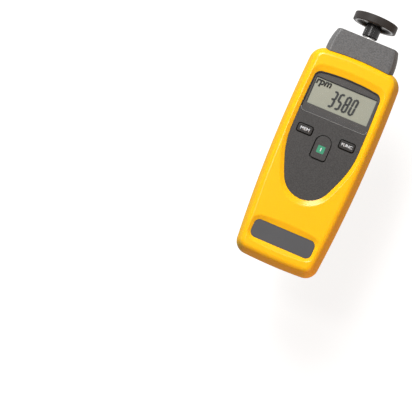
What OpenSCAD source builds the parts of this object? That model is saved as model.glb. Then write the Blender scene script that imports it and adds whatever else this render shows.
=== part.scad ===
// Handheld contact tachometer: a moulded case with a dished face, a clamshell contact adapter
// that plugs into the top end, and a spindle that carries a pull-off contact wheel.
// X is to the right, +Y runs along the case towards the wheel, +Z leaves the face, and the
// origin is the middle of the flat back. All lengths are millimetres.

/* [Case] */
// Length of the case without the adapter
case_l = 144; // [138:0.5:152]
// Greatest width of the case, at the parting line
case_w = 63; // [60:0.5:70]
// Height of the face above the back
case_d = 28.8; // [28:0.2:31]
// Height of the parting line above the back
parting_z = 13.4; // [12.6:0.2:14.4]
// Wall of the case
case_wall = 2.2; // [1.8:0.1:2.6]
// How far the front edge lies inside the widest outline
face_inset = 4.7; // [3.5:0.1:5.5]
// Radius of the front edge
ridge_r = 1.3; // [0.8:0.1:2]
// Radius of the back edge
back_edge_r = 4.5; // [3:0.1:6]
// Lean of the rear wall between the parting line and the back edge
rear_draft = 0.5; // [0.2:0.1:1]
// Radius of the crown at the top end
top_crown_r = 180; // [140:5:260]
// Radius of the crown at the bottom end
bottom_crown_r = 330; // [240:5:400]
// Radius of the bowed sides
side_bow_r = 950; // [800:10:1400]
// Place of the greatest width along the case
widest_y = 20; // [10:1:25]
// Corner radius at the top end
top_corner_r = 10; // [8:0.5:12]
// Corner radius at the bottom end
bottom_corner_r = 8.5; // [7.5:0.5:10]

/* [Face] */
// Width of the case's face beside the fascia panel at its widest
fascia_side_gap = 8.45; // [8.2:0.05:9]
// Distance from the top end of the case to the fascia
fascia_end_gap = 16.5; // [15.5:0.1:17.5]
// Place of the fascia's greatest width
fascia_widest_y = 20.4; // [18:0.1:23]
// Crown radius of the fascia's top edge
fascia_crown_r = 130; // [90:5:200]
// Radius of the fascia's upper corners
fascia_corner_r = 4.6; // [3:0.1:6]
// Radius of the fascia's sides
fascia_side_r = 700; // [500:10:1000]
// Radius of the fascia's shoulders
fascia_shoulder_r = 58; // [52:1:62]
// Radius of the fascia's flanks
fascia_flank_r = 150; // [120:5:180]
// Thickness of the fascia panel
fascia_t = 1.6; // [1.4:0.1:1.8]
// Depth of the fascia's surface below the face
dish_depth = 1.7; // [1.3:0.1:2]
// Width of the dished slope at the fascia's sides
dish_side_w = 3.1; // [2.5:0.1:3.4]
// Width of the dished slope at the fascia's top edge
dish_top_w = 5; // [4:0.1:5.6]
// Width of the dished slope below the fascia
dish_bottom_w = 4.6; // [3.5:0.1:5.5]
// Width of the seat under the fascia's edge
fascia_ledge = 0.8; // [0.7:0.1:0.9]
// Thickness of the seat under the fascia's edge
ledge_t = 1.2; // [1:0.1:1.2]
// Width of the case beside the badge plate
badge_side_gap = 10.85; // [10:0.05:12]
// Height of the badge plate
badge_h = 12; // [10:0.1:13]
// Distance from the bottom end of the case to the middle of the badge plate
badge_end_gap = 18.2; // [17:0.1:19]
// Corner radius of the badge plate
badge_r = 3.7; // [2.5:0.1:4.5]
// Thickness of the badge plate
badge_t = 0.8; // [0.6:0.1:1]

/* [Display] */
// Width of the fascia beside the display
view_side_gap = 2.75; // [2.5:0.05:3.5]
// Height of the visible display
view_h = 17.3; // [16:0.1:18]
// Distance from the fascia's top edge to the middle of the display
view_drop = 14.6; // [14:0.1:15]
// Thickness of the clear lens
lens_t = 1; // [0.8:0.1:1.1]
// Length of the clear lens, from the fascia's top edge
lens_l = 29.5; // [28.5:0.1:30.5]
// Radius of the lens's lower corners
lens_corner_r = 2.4; // [1.5:0.1:3]
// Border of the display glass beyond the visible part
glass_border = 0.9; // [0.8:0.1:1]
// Thickness of the display glass
glass_t = 1.9; // [1.8:0.1:2.2]

/* [Keys] */
// Width of the small keys
small_key_w = 10.3; // [9:0.1:11]
// Height of the small keys
small_key_h = 5.8; // [5:0.1:6.5]
// Corner radius of the small keys
small_key_r = 1.4; // [1:0.1:2]
// Distance of each small key from the middle
small_key_x = 14.35; // [13.5:0.05:15.5]
// Distance from the lens to the middle of the small keys
small_key_drop = 10.1; // [9:0.1:11]
// How far the small keys stand out of the fascia
small_key_proud = 0.9; // [0.6:0.1:1.2]
// Width of the power key
power_key_w = 10.4; // [9:0.1:11]
// Height of the power key
power_key_h = 15.9; // [14:0.1:17]
// Distance from the small keys' row to the middle of the power key
power_key_drop = 7; // [6:0.1:8]
// Radius of the power key's lower corners
power_key_r = 1.7; // [1:0.1:2.4]
// How far the power key stands out of the fascia
power_key_proud = 0.3; // [0.1:0.1:0.6]
// Travel of every key
key_travel = 0.5; // [0.3:0.1:0.6]
// Gap round every key
key_gap = 0.3; // [0.2:0.05:0.4]
// Width of the flange that keeps a key in
key_flange = 0.8; // [0.6:0.1:1]
// Thickness of a key's flange
key_flange_t = 0.7; // [0.5:0.1:0.8]
// Width of a switch body
switch_w = 6; // [5:0.1:6.5]
// Height of a switch body
switch_h = 2.2; // [1.8:0.1:2.2]
// Diameter of a switch plunger
plunger_d = 3; // [2.6:0.1:3.4]

/* [Boards] */
// Gap between the main board and the case's wall at its widest
board_side_gap = 4.4; // [4.2:0.1:5]
// Distance from the bottom end of the case to the main board
board_end_gap = 20; // [18:0.5:26]
// Distance from the fascia's top edge to the main board
board_top_gap = 2.5; // [2:0.1:3]
// Thickness of the boards
board_t = 1.6; // [1.4:0.1:1.8]
// Height of the gap between the board and the glass
connector_h = 1.7; // [1.6:0.1:2]
// Corner radius of the boards
board_r = 2; // [1:0.1:3]
// Distance of the upper board screws from the board's edge
board_screw_top_edge = 1.9; // [1.7:0.1:2.2]
// Distance of the lower board screws from the board's edge
board_screw_low_edge = 6.2; // [5:0.1:9]
// Distance of the lower board screws from the board's end
board_screw_end = 6; // [4:0.1:8]

/* [Battery] */
// Diameter of a cell
cell_d = 10.4; // [10:0.1:10.5]
// Length of a cell without its cap
cell_l = 43.5; // [42:0.1:44]
// Number of cells side by side
cell_n = 4; // [2:1:4]
// Gap between two cells
cell_gap = 0.7; // [0.4:0.1:0.8]
// Room for the contacts and springs past the cells
cell_end_room = 7.2; // [7:0.1:8]
// Distance from the bottom end of the case to the battery bay
bay_end_gap = 15.6; // [15.2:0.1:16.2]
// Wall of the battery bay
bay_wall = 1.1; // [1:0.1:1.5]
// Thickness of the battery door
door_t = 1.8; // [1.6:0.1:2]
// Gap round the battery door
door_gap = 0.3; // [0.2:0.05:0.4]
// How far the case's lip reaches over each door tab
tab_reach = 2.6; // [2:0.1:3]
// Width of a door tab
tab_w = 4.6; // [4:0.1:5.2]
// Thickness of a door tab
tab_t = 0.9; // [0.8:0.1:1]
// Thickness of the foam pad inside the door
pad_t = 0.6; // [0.4:0.1:0.8]
// Diameter of the spring wire
spring_wire_d = 0.7; // [0.6:0.05:0.8]

/* [Fasteners] */
// Diameter of the case screws
screw_d = 2.6; // [2.2:0.1:3]
// Diameter of the case screws' heads
screw_head_d = 5; // [4.4:0.1:5.4]
// Height of the case screws' heads
screw_head_h = 1.9; // [1.6:0.1:2.2]
// Depth of the case screws' heads below the back
screw_sink = 3; // [2:0.1:4]
// Distance of the upper case screws from the case's widest side
screw_top_side = 10; // [9:0.1:11]
// Distance of the upper case screws from the top end
screw_top_end = 10; // [9:0.1:11]
// Distance of the lower case screws from the case's widest side
screw_low_side = 12; // [11:0.1:13.5]
// Distance of the lower case screws from the bottom end
screw_low_end = 8.5; // [8:0.1:9]
// Wall of a screw post
post_wall = 1.7; // [1.4:0.1:2]

/* [Adapter] */
// Depth of the spindle axis below the face
axis_depth = 11.4; // [11.2:0.1:11.8]
// Width of the adapter at its base
head_w = 46.6; // [42:0.1:48]
// Depth of the adapter, front to back
head_d = 17.8; // [17:0.1:18.4]
// Length of the adapter beyond the case
head_l = 12.6; // [12:0.1:14]
// Radius of the adapter's curved sides
head_side_r = 36; // [30:1:50]
// How far the adapter's faces lie inside its widest outline
head_inset = 3.3; // [2.5:0.1:4]
// Radius of the adapter's face edges
head_edge_r = 0.9; // [0.6:0.1:1.2]
// Wall of the adapter
head_wall = 1.8; // [1.5:0.1:2.2]
// Gap between the adapter and the case
head_gap = 0.3; // [0.2:0.05:0.5]
// Width of the spigot that plugs into the case
spigot_w = 24; // [22:0.1:26]
// Depth of the spigot, front to back
spigot_d = 13.6; // [13.2:0.1:14]
// Length of the spigot inside the case
spigot_l = 9; // [8:0.1:9.5]
// Corner radius of the spigot
spigot_r = 2.4; // [1.5:0.1:3]
// Gap round the spigot
spigot_gap = 0.2; // [0.1:0.05:0.3]
// Wall of the optics housing
optics_wall = 1.1; // [0.9:0.1:1.3]

/* [Spindle] */
// Diameter of the shaft
shaft_d = 4; // [3.6:0.1:4.2]
// Outer diameter of a bearing
bearing_d = 9; // [8.6:0.1:9.4]
// Width of a bearing
bearing_w = 4; // [3.6:0.1:4.2]
// Diameter of a bearing ball
ball_d = 1.3; // [1.1:0.05:1.4]
// Balls in a bearing
ball_n = 7; // [5:1:8]
// Outer diameter of the bearing sleeve
sleeve_d = 11; // [10.8:0.1:11.4]
// Diameter of the sleeve's nose
nose_d = 6.8; // [6:0.1:7.2]
// How far the nose stands out of the adapter
nose_proud = 1.5; // [1:0.1:1.7]
// Diameter of the slotted disc
disc_d = 9.6; // [9:0.1:10]
// Thickness of the slotted disc
disc_t = 0.8; // [0.6:0.1:1]
// Slots in the disc
disc_slot_n = 6; // [3:1:8]

/* [Contact wheel] */
// Diameter of the contact wheel: a tenth of a yard round
wheel_d = 29.1; // [26:0.1:32]
// Width of the tyre
wheel_w = 5.3; // [4:0.1:6.5]
// Length of the hub between the adapter and the tyre
hub_l = 7.8; // [7:0.1:9]
// Thickness of the tyre
tyre_t = 1.6; // [1:0.1:2]
// Diameter of the hub
hub_d = 10.4; // [9.6:0.1:11]
// Gap between the adapter and the hub
hub_gap = 2; // [1.9:0.1:3]
// Thickness of the web
web_t = 1.8; // [1.4:0.1:2.4]
// Width of the rim's lip
lip_w = 0.9; // [0.6:0.1:1.2]
// Diameter of the drive pin
drive_pin_d = 1.5; // [1.2:0.1:1.8]

/* [Hidden] */

// Fits and finishes shared by the pieces
cut = 1; // Overrun of every cut
fit = 0.15; // Gap between pieces that are assembled
run_fit = 0.04; // Radial gap of a running fit
min_r = 0.6; // Smallest corner of an inner outline
thread_bite = 0.1; // Depth of a screw's thread in its post
smooth = 48; // Steps of a round bore or pin

// Places along and across the case
axis_z = case_d - axis_depth;
fascia_w = case_w - 2 * fascia_side_gap;
badge_w = case_w - 2 * badge_side_gap;
view_w = fascia_w - 2 * view_side_gap;
fascia_top_y = case_l / 2 - fascia_end_gap;
badge_y = badge_end_gap - case_l / 2;
view_y = fascia_top_y - view_drop;
lens_bottom_y = fascia_top_y - lens_l;
small_key_y = lens_bottom_y - small_key_drop;
power_key_y = small_key_y - power_key_drop;
board_w = case_w - 2 * (case_wall + board_side_gap);
board_top_y = fascia_top_y - board_top_gap;
board_bottom_y = board_end_gap - case_l / 2;
head_top_y = case_l / 2 + head_l;
spigot_end_y = case_l / 2 - spigot_l;
hub_y = head_top_y + hub_gap;
wheel_y = hub_y + hub_l;

// Heights of the face's layers
fascia_z = case_d - dish_depth;
ledge_z = fascia_z - fascia_t;
ceiling_z = ledge_z - ledge_t;
glass_z = ledge_z - glass_t;
board_z = glass_z - connector_h - board_t;
board_face_z = board_z + board_t;

// Points in the plane
function polar(r, a) = [r * cos(a), r * sin(a)];
function heading(v) = atan2(v.y, v.x);
function arc(c, r, a0, a1, n) = [for (i = [0:n - 1]) c + polar(r, a0 + (a1 - a0) * i / n)];
function lift(points, z) = [for (p = points) [p.x, p.y, z]];
function with_left_half(half) = concat(half, [for (i = [len(half) - 1:-1:1]) [-half[i].x, half[i].y]]);
// One of the two points at given distances from two centres
function meet(c1, r1, c2, r2, side) =
    let (v = c2 - c1, d = norm(v), u = v / d, a = (r1 * r1 - r2 * r2 + d * d) / (2 * d))
    c1 + a * u + side * sqrt(max(r1 * r1 - a * a, 0)) * [u.y, -u.x];

// Outline of the case, drawn in by inset: a chain of five tangent arcs and its mirror image
function case_outline(inset) =
    let (half_l = case_l / 2 - inset, side_r = side_bow_r - inset,
        crown_t = top_crown_r - inset, crown_b = bottom_crown_r - inset,
        corner_t = max(top_corner_r - inset, min_r), corner_b = max(bottom_corner_r - inset, min_r),
        side_c = [case_w / 2 - side_bow_r, widest_y],
        top_c = [0, half_l - crown_t], bottom_c = [0, crown_b - half_l],
        tc = meet(top_c, crown_t - corner_t, side_c, side_r - corner_t, 1),
        bc = meet(bottom_c, crown_b - corner_b, side_c, side_r - corner_b, -1),
        a0 = heading(bc - bottom_c), a1 = heading(bc - side_c),
        a2 = heading(tc - side_c), a3 = heading(tc - top_c))
    with_left_half(concat(
        arc(bottom_c, crown_b, -90, a0, 5), arc(bc, corner_b, a0, a1, 6),
        arc(side_c, side_r, a1, a2, 8), arc(tc, corner_t, a2, a3, 6),
        arc(top_c, crown_t, a3, 90, 5), [[0, half_l]]));

// Outline of the fascia, drawn in by inset, with its width and top edge moved out by grow
function fascia_outline(inset, grow_side = 0, grow_top = 0) =
    let (side_r = fascia_side_r - inset, corner_r = max(fascia_corner_r + grow_side - inset, min_r),
        crown_r = fascia_crown_r - inset, a1 = 0.5, a2 = 19.5, a3 = 24.5,
        side_c = [fascia_w / 2 + grow_side - fascia_side_r, fascia_widest_y],
        top_c = [0, fascia_top_y + grow_top - inset - crown_r],
        tc = meet(top_c, crown_r - corner_r, side_c, side_r - corner_r, 1),
        shoulder_r = fascia_shoulder_r + grow_side,
        shoulder_c = side_c + polar(fascia_side_r - shoulder_r, -a1),
        flank_r = fascia_flank_r + grow_side,
        flank_c = shoulder_c + polar(shoulder_r - flank_r, -a2),
        tip_r = flank_r + flank_c.x / cos(a3),
        tip_c = flank_c + polar(flank_r - tip_r, -a3))
    with_left_half(concat(
        arc(tip_c, tip_r - inset, -90, -a3, 9), arc(flank_c, flank_r - inset, -a3, -a2, 2),
        arc(shoulder_c, shoulder_r - inset, -a2, -a1, 6),
        arc(side_c, side_r, -a1, heading(tc - side_c), 4),
        arc(tc, corner_r, heading(tc - side_c), heading(tc - top_c), 6),
        arc(top_c, crown_r, heading(tc - top_c), 90, 4), [[0, fascia_top_y + grow_top - inset]]));

// Outline of the badge's seat, with its ends and its edges moved out, the edges crowned
function badge_outline(grow_side, grow_top, grow_bottom, crown) =
    let (half_w = badge_w / 2 + grow_side, r = badge_r + grow_side, top = badge_h / 2 + grow_top,
        bottom = badge_h / 2 + grow_bottom, run = half_w - r)
    with_left_half([for (p = concat(
            [for (i = [0:5]) [run * i / 6, -bottom - crown * (1 - pow(i / 6, 2))]],
            arc([run, r - bottom], r, -90, 0, 6),
            arc([run, top - r], r, 0, 90, 6),
            [for (i = [0:6]) [run * (1 - i / 6), top + crown * (1 - pow(1 - i / 6, 2))]]))
        [p.x, p.y + badge_y]]);

// Solid through a stack of rings that have the same number of points, lowest ring first
module loft(rings) {
    n = len(rings[0]);
    m = len(rings);
    polyhedron(
        points = [for (ring = rings) each ring],
        faces = concat(
            [[for (i = [0:n - 1]) i]],
            [for (k = [0:m - 2], i = [0:n - 1])
                [k * n + i, (k + 1) * n + i, (k + 1) * n + (i + 1) % n, k * n + (i + 1) % n]],
            [[for (i = [n - 1:-1:0]) (m - 1) * n + i]]),
        convexity = 6);
}

// Insets and heights of the case's wall, from the back to the face
wall_steps = 5;
function rear_profile() = concat(
    [for (a = [0:22.5:90]) [rear_draft + back_edge_r * (1 - sin(a)), back_edge_r * (1 - cos(a))]],
    [[0, parting_z]]);
function front_profile() =
    let (top_in = face_inset - ridge_r * cos(30), top_z = case_d - ridge_r * (1 - sin(30)))
    concat(
        [for (i = [0:wall_steps]) [top_in * pow(i / wall_steps, 2), parting_z + (top_z - parting_z) * i / wall_steps]],
        [for (a = [60, 90]) [face_inset - ridge_r * cos(a), case_d - ridge_r * (1 - sin(a))]]);
function case_rings(profile, inset) = [for (p = profile) lift(case_outline(p.x + inset), p.y)];
// Whole outside of the case, grown by a gap, for what has to clear it
module case_envelope(gap) {
    loft(case_rings(concat([[rear_draft + back_edge_r, -cut]], rear_profile(),
        [for (i = [1:len(front_profile()) - 1]) front_profile()[i]],
        [[face_inset, case_d + cut]]), -gap));
}
// Cavity of the rear half and of the front half
module rear_cavity() {
    loft([lift(case_outline(case_wall + rear_draft + back_edge_r * 0.4), case_wall),
        lift(case_outline(case_wall + rear_draft), case_wall + back_edge_r * 0.6),
        lift(case_outline(case_wall), parting_z + cut)]);
}
module front_cavity() {
    loft([lift(case_outline(case_wall), parting_z - cut),
        lift(case_outline(case_wall), parting_z + wall_steps * fit),
        lift(case_outline(case_wall + face_inset * 0.16), parting_z + (ceiling_z - parting_z) * 0.6),
        lift(case_outline(case_wall + face_inset * 0.5), ceiling_z)]);
}

// Plane and solid shapes that repeat
module round_rect(w, h, r) {
    square([w, h - 2 * r], center = true);
    square([w - 2 * r, h], center = true);
    for (sx = [-1, 1], sy = [-1, 1])
        translate([sx * (w / 2 - r), sy * (h / 2 - r)]) circle(r, $fn = 24);
}
module slab(w, h, r, z0, z1, y = 0) {
    translate([0, y, z0]) linear_extrude(z1 - z0) round_rect(w, h, r);
}
module box(x0, x1, y0, y1, z0, z1) {
    translate([x0, y0, z0]) cube([x1 - x0, y1 - y0, z1 - z0]);
}
// Rounded bar along the case, centred on the spindle axis
module along_y(w, d, r, y0, y1) {
    translate([0, y1, axis_z]) rotate([90, 0, 0]) linear_extrude(y1 - y0) round_rect(w, d, r);
}
// Round bar and round tube on the spindle axis
module spindle_bar(d, y0, y1) {
    translate([0, y1, axis_z]) rotate([90, 0, 0]) cylinder(d = d, h = y1 - y0, $fn = smooth);
}
module spindle_tube(d_out, d_in, y0, y1) {
    difference() {
        spindle_bar(d_out, y0, y1);
        spindle_bar(d_in, y0 - cut, y1 + cut);
    }
}
module post(x, y, z0, z1, d) {
    translate([x, y, z0]) cylinder(d = d, h = z1 - z0, $fn = smooth);
}
screw_places = [for (s = [-1, 1]) each
    [[s * (case_w / 2 - screw_top_side), case_l / 2 - screw_top_end],
    [s * (case_w / 2 - screw_low_side), screw_low_end - case_l / 2]]];
board_screw_places = [for (s = [-1, 1]) each
    [[s * (board_w / 2 - board_screw_top_edge), lens_bottom_y],
    [s * (board_w / 2 - board_screw_low_edge), board_bottom_y + board_screw_end]]];

// Battery bay, door and cells
cells_w = cell_n * cell_d + (cell_n - 1) * cell_gap;
bay_w = cells_w + 2 * cell_gap;
bay_l = cell_l + cell_end_room;
bay_low_y = bay_end_gap - case_l / 2;
bay_high_y = bay_low_y + bay_l;
bay_y = (bay_low_y + bay_high_y) / 2;
cell_z = door_t + max(pad_t, fit + tab_t) + fit + cell_d / 2;
bay_roof_z = cell_z + cell_d / 2 + fit;
door_w = bay_w + bay_wall;
door_low_y = bay_low_y + tab_reach + door_gap;
door_high_y = bay_high_y + bay_wall;
tab_x = (cell_n / 2 - 1) * (cell_d + cell_gap);
latch_w = door_w * 0.28;
latch_depth = door_t * 0.7;

// Rear half of the case with the battery bay, the screw wells and half of the adapter's mouth
module rear_case() {
    color("gold") difference() {
        union() {
            difference() {
                loft(case_rings(rear_profile(), 0));
                rear_cavity();
            }
            intersection() {
                loft([lift(case_outline(rear_draft + back_edge_r), 0),
                    lift(case_outline(rear_draft + back_edge_r * 0.3), case_wall),
                    lift(case_outline(case_wall / 2), parting_z),
                    lift(case_outline(case_wall / 2), bay_roof_z + bay_wall)]);
                union() {
                    box(-bay_w / 2 - bay_wall, bay_w / 2 + bay_wall, bay_low_y - bay_wall,
                        bay_high_y + bay_wall, 0, bay_roof_z + bay_wall);
                    for (p = screw_places)
                        post(p.x, p.y, 0, parting_z, screw_head_d + 2 * (fit + post_wall));
                }
            }
        }
        box(-bay_w / 2, bay_w / 2, bay_low_y, bay_high_y, door_t, bay_roof_z);
        box(-door_w / 2 - door_gap, door_w / 2 + door_gap, door_low_y - door_gap,
            door_high_y + door_gap, -cut, door_t);
        box(-latch_w / 2 - door_gap, latch_w / 2 + door_gap, door_high_y, door_high_y + latch_depth + door_gap,
            -cut, door_t);
        for (p = screw_places) {
            post(p.x, p.y, -cut, screw_sink + screw_head_h, screw_head_d + 2 * fit);
            post(p.x, p.y, -cut, parting_z + cut, screw_d + 2 * fit);
        }
        mouth_cut();
    }
}

// Way for the optics housing through the top end
optics_w = spigot_w + 2 * (spigot_gap + optics_wall);
optics_d = spigot_d + 2 * (spigot_gap + optics_wall);
socket_end_y = spigot_end_y - head_gap - spigot_gap;
optics_back_y = socket_end_y - 3 * optics_wall;
module mouth_cut() {
    along_y(optics_w + 2 * fit, optics_d + 2 * fit, spigot_r + spigot_gap + optics_wall,
        optics_back_y - fit, case_l / 2 + cut);
}

// Recess of the fascia, the dished slope round it and the badge's seat, cut from the front half
dish_share = [0, 0.3, 0.66, 1];
dish_rise_share = [0, 0.12, 0.45, 1];
module dish_cut() {
    bottom_shift = dish_bottom_w - dish_side_w;
    function lowered(points, s) = [for (p = points)
        [p.x, p.y - s * bottom_shift * pow(max(0, (fascia_widest_y - p.y) / (fascia_widest_y + case_l / 5)), 2)]];
    loft(concat(
        [for (i = [0:3]) lift(lowered(fascia_outline(0, dish_side_w * dish_share[i], dish_top_w * dish_share[i]),
            dish_share[i]), fascia_z + dish_depth * dish_rise_share[i])],
        [lift(lowered(fascia_outline(0, dish_side_w, dish_top_w), 1), case_d + cut)]));
}
badge_z = fascia_z;
badge_top_w = 3.4 * badge_h / 12;
badge_side_w = 2.7 * badge_h / 12;
badge_bottom_w = 2.7 * badge_h / 12;
badge_crown = 1.2 * badge_h / 12;
module badge_cut() {
    loft(concat(
        [for (i = [0:3]) lift(badge_outline(badge_side_w * dish_share[i], badge_top_w * dish_share[i],
            badge_bottom_w * dish_share[i], badge_crown * max(dish_share[i], dish_share[1] / 2)), fascia_z + dish_depth * dish_rise_share[i])],
        [lift(badge_outline(badge_side_w, badge_top_w, badge_bottom_w, badge_crown), case_d + cut)]));
    translate([0, badge_y, badge_z - badge_t])
        linear_extrude(badge_t + cut) round_rect(badge_w + 2 * fit, badge_h + 2 * fit, badge_r + fit);
}

// Front half of the case with its dished face, screw posts and board posts
module front_case() {
    color("gold") difference() {
        union() {
            difference() {
                loft(case_rings(front_profile(), 0));
                front_cavity();
            }
            for (p = screw_places) post(p.x, p.y, parting_z, ceiling_z + case_wall / 2, screw_d + 2 * post_wall);
            for (p = board_screw_places)
                post(p.x, p.y, board_face_z, ceiling_z + case_wall / 2, board_screw_d + 2 * post_wall);
        }
        dish_cut();
        badge_cut();
        translate([0, 0, ledge_z]) linear_extrude(fascia_t + cut) polygon(fascia_outline(-fit));
        translate([0, 0, ceiling_z - cut]) linear_extrude(fascia_t + 2 * cut) polygon(fascia_outline(fascia_ledge));
        for (p = screw_places) post(p.x, p.y, parting_z - cut, ceiling_z - case_wall / 2, screw_d - 2 * thread_bite);
        for (p = board_screw_places)
            post(p.x, p.y, board_face_z - cut, ceiling_z, board_screw_d - 2 * thread_bite);
        mouth_cut();
    }
}

module case_screws() {
    color("silver") for (p = screw_places) difference() {
        union() {
            post(p.x, p.y, screw_sink, screw_sink + screw_head_h, screw_head_d);
            post(p.x, p.y, screw_sink, ceiling_z - case_wall, screw_d);
        }
        translate([p.x, p.y, screw_sink - cut]) for (a = [0, 90]) rotate([0, 0, a])
            translate([-screw_head_d * 0.32, -screw_d * 0.11, 0])
                cube([screw_head_d * 0.64, screw_d * 0.22, cut + screw_head_h * 0.55]);
    }
}

// Dark panel of the face with its display window, key holes and lens seat
module lens_shape(inset) {
    intersection() {
        polygon(fascia_outline(inset));
        translate([0, lens_bottom_y + inset + fascia_top_y / 2])
            round_rect(fascia_w - 2 * inset, fascia_top_y, lens_corner_r);
    }
}
lens_rim = 0.5;
module fascia_panel() {
    color("dimgray") difference() {
        translate([0, 0, ledge_z]) linear_extrude(fascia_t) polygon(fascia_outline(0));
        translate([0, 0, fascia_z - lens_t]) linear_extrude(lens_t + cut) lens_shape(lens_rim - fit);
        slab(view_w, view_h, min_r, ledge_z - cut, fascia_z + cut, view_y);
        for (sx = [-1, 1]) translate([sx * small_key_x, 0, 0])
            slab(small_key_w + 2 * key_gap, small_key_h + 2 * key_gap, small_key_r + key_gap,
                ledge_z - cut, fascia_z + cut, small_key_y);
        translate([0, 0, ledge_z - cut]) linear_extrude(fascia_t + 2 * cut) power_key_shape(key_gap);
    }
}
module display_lens() {
    color("lightgray", 0.35) translate([0, 0, fascia_z - lens_t]) linear_extrude(lens_t) lens_shape(lens_rim);
}
module badge_plate() {
    color("dimgray") slab(badge_w, badge_h, badge_r, badge_z - badge_t, badge_z, badge_y);
}

// Display: two sheets of glass with a contact step at each long edge, on two elastic connectors
contact_step = 1.6 * glass_border / 1.3;
glass_w = view_w + 2 * glass_border;
module lcd_panel() {
    color("darkseagreen") {
        slab(glass_w, view_h + 2 * glass_border, min_r, glass_z + glass_t / 2, ledge_z - fit, view_y);
        slab(glass_w, view_h + 2 * glass_border + 2 * contact_step, min_r, glass_z, glass_z + glass_t / 2, view_y);
    }
}
module lcd_connectors() {
    half_w = view_w / 2;
    step_y = view_h / 2 + glass_border;
    color("hotpink") for (s = [-1, 1])
        translate([0, view_y + s * (step_y + contact_step / 2), 0])
            box(-half_w, half_w, -contact_step * 0.4, contact_step * 0.4, board_face_z, glass_z);
}

// Main board and what stands on it
board_screw_d = screw_d * 0.85;
module main_board() {
    color("darkgreen") difference() {
        slab(board_w, board_top_y - board_bottom_y, board_r, board_z, board_face_z,
            (board_top_y + board_bottom_y) / 2);
        for (p = board_screw_places) post(p.x, p.y, board_z - cut, board_face_z + cut, board_screw_d + 2 * fit);
    }
}
chip_h = 1.5 * board_t / 1.6;
chip_w = board_w * 0.27;
module board_chips() {
    mid_y = (board_top_y + board_bottom_y) / 2;
    color("black") translate([0, mid_y, 0]) {
        slab(chip_w, chip_w, min_r, board_face_z, board_face_z + chip_h, -chip_w);
        slab(chip_w / 2, chip_w / 3, min_r / 2, board_face_z, board_face_z + chip_h, -chip_w * 2.2);
        translate([-chip_w * 0.9, 0, 0])
            slab(chip_w / 3, chip_w * 0.7, min_r, board_face_z, board_face_z + 1.2 * chip_h, -chip_w * 2.1);
        translate([chip_w * 0.9, -chip_w * 2.2, board_face_z])
            cylinder(d = chip_w * 0.36, h = 1.2 * chip_h, $fn = smooth);
    }
}
module board_screws() {
    color("silver") for (p = board_screw_places) {
        post(p.x, p.y, board_z - screw_head_h * 0.4, board_z, board_screw_d * 1.8);
        post(p.x, p.y, board_z, ceiling_z - case_wall / 2, board_screw_d);
    }
}

// Keys: each has a flange under the fascia and rests on its switch's plunger
module power_key_shape(grow) {
    w = power_key_w + 2 * grow;
    r = power_key_r + grow;
    low = power_key_y - power_key_h / 2 - grow;
    round_y = power_key_y + power_key_h / 2 - power_key_w / 2;
    translate([0, round_y]) circle(w / 2, $fn = smooth);
    translate([-w / 2, low + r]) square([w, round_y - low - r]);
    translate([r - w / 2, low]) square([w - 2 * r, w / 2]);
    for (s = [-1, 1]) translate([s * (w / 2 - r), low + r]) circle(r, $fn = 24);
}
flange_z = ledge_z - fit - key_flange_t;
module small_key(sx) {
    color("dimgray") translate([sx * small_key_x, 0, 0]) {
        slab(small_key_w, small_key_h, small_key_r, flange_z, fascia_z + small_key_proud, small_key_y);
        slab(small_key_w + 2 * (key_gap + key_flange), small_key_h + 2 * (key_gap + key_flange), small_key_r,
            flange_z, flange_z + key_flange_t, small_key_y);
    }
}
module memory_key() { small_key(-1); }
module function_key() { small_key(1); }
module power_key() {
    color("dimgray") {
        translate([0, 0, flange_z]) linear_extrude(fascia_z + power_key_proud - flange_z) power_key_shape(0);
        translate([0, 0, flange_z]) linear_extrude(key_flange_t) power_key_shape(key_gap + key_flange);
    }
}
key_places = [[-small_key_x, small_key_y], [small_key_x, small_key_y], [0, power_key_y]];
module switch_bodies() {
    color("black") for (p = key_places) difference() {
        translate([p.x, p.y, board_face_z]) linear_extrude(switch_h) round_rect(switch_w, switch_w, min_r);
        post(p.x, p.y, board_face_z + switch_h - key_travel - 2 * fit, board_face_z + switch_h + cut,
            plunger_d + 2 * fit);
    }
}
module plunger(p) {
    color("ivory") post(p.x, p.y, board_face_z + switch_h - fit, flange_z, plunger_d);
}
module memory_plunger() { plunger(key_places[0]); }
module function_plunger() { plunger(key_places[1]); }
module power_plunger() { plunger(key_places[2]); }

// Optics at the inner end of the adapter's mouth
optics_axis_x = disc_d * 0.36;
led_d = disc_d * 0.31;
lens_seat_d = disc_d * 0.5;
optics_board_y = optics_back_y - led_d * 1.3;
module optic_bar(x, d, y0, y1) {
    translate([x, 0, 0]) spindle_bar(d, y0, y1);
}
module optics_housing() {
    color("black") difference() {
        intersection() {
            along_y(optics_w, optics_d, spigot_r + spigot_gap + optics_wall, optics_back_y, case_l / 2);
            case_envelope(-case_wall / 2);
        }
        along_y(spigot_w + 2 * spigot_gap, spigot_d + 2 * spigot_gap, spigot_r + spigot_gap,
            socket_end_y, case_l / 2 + cut);
        for (s = [-1, 1]) {
            optic_bar(s * optics_axis_x * 0.8, led_d + 2 * fit, optics_back_y - cut, socket_end_y + cut);
            optic_bar(s * optics_axis_x * 0.8, lens_seat_d, socket_end_y - optics_wall, socket_end_y + cut);
        }
    }
}
module optics_lenses() {
    color("lightcyan", 0.4) for (s = [-1, 1])
        optic_bar(s * optics_axis_x * 0.8, lens_seat_d - 2 * fit, socket_end_y - optics_wall, socket_end_y);
}
module optics_board() {
    color("darkgreen") translate([0, optics_board_y, axis_z]) rotate([90, 0, 0])
        linear_extrude(board_t * 0.6) round_rect(optics_w * 0.7, 2 * (board_z - fit - axis_z), min_r);
}
module light_part(side) {
    x = side * optics_axis_x * 0.8;
    optic_bar(x, led_d * 1.16, optics_board_y, optics_board_y + led_d * 0.3);
    optic_bar(x, led_d, optics_board_y, optics_back_y + optics_wall);
}
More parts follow.
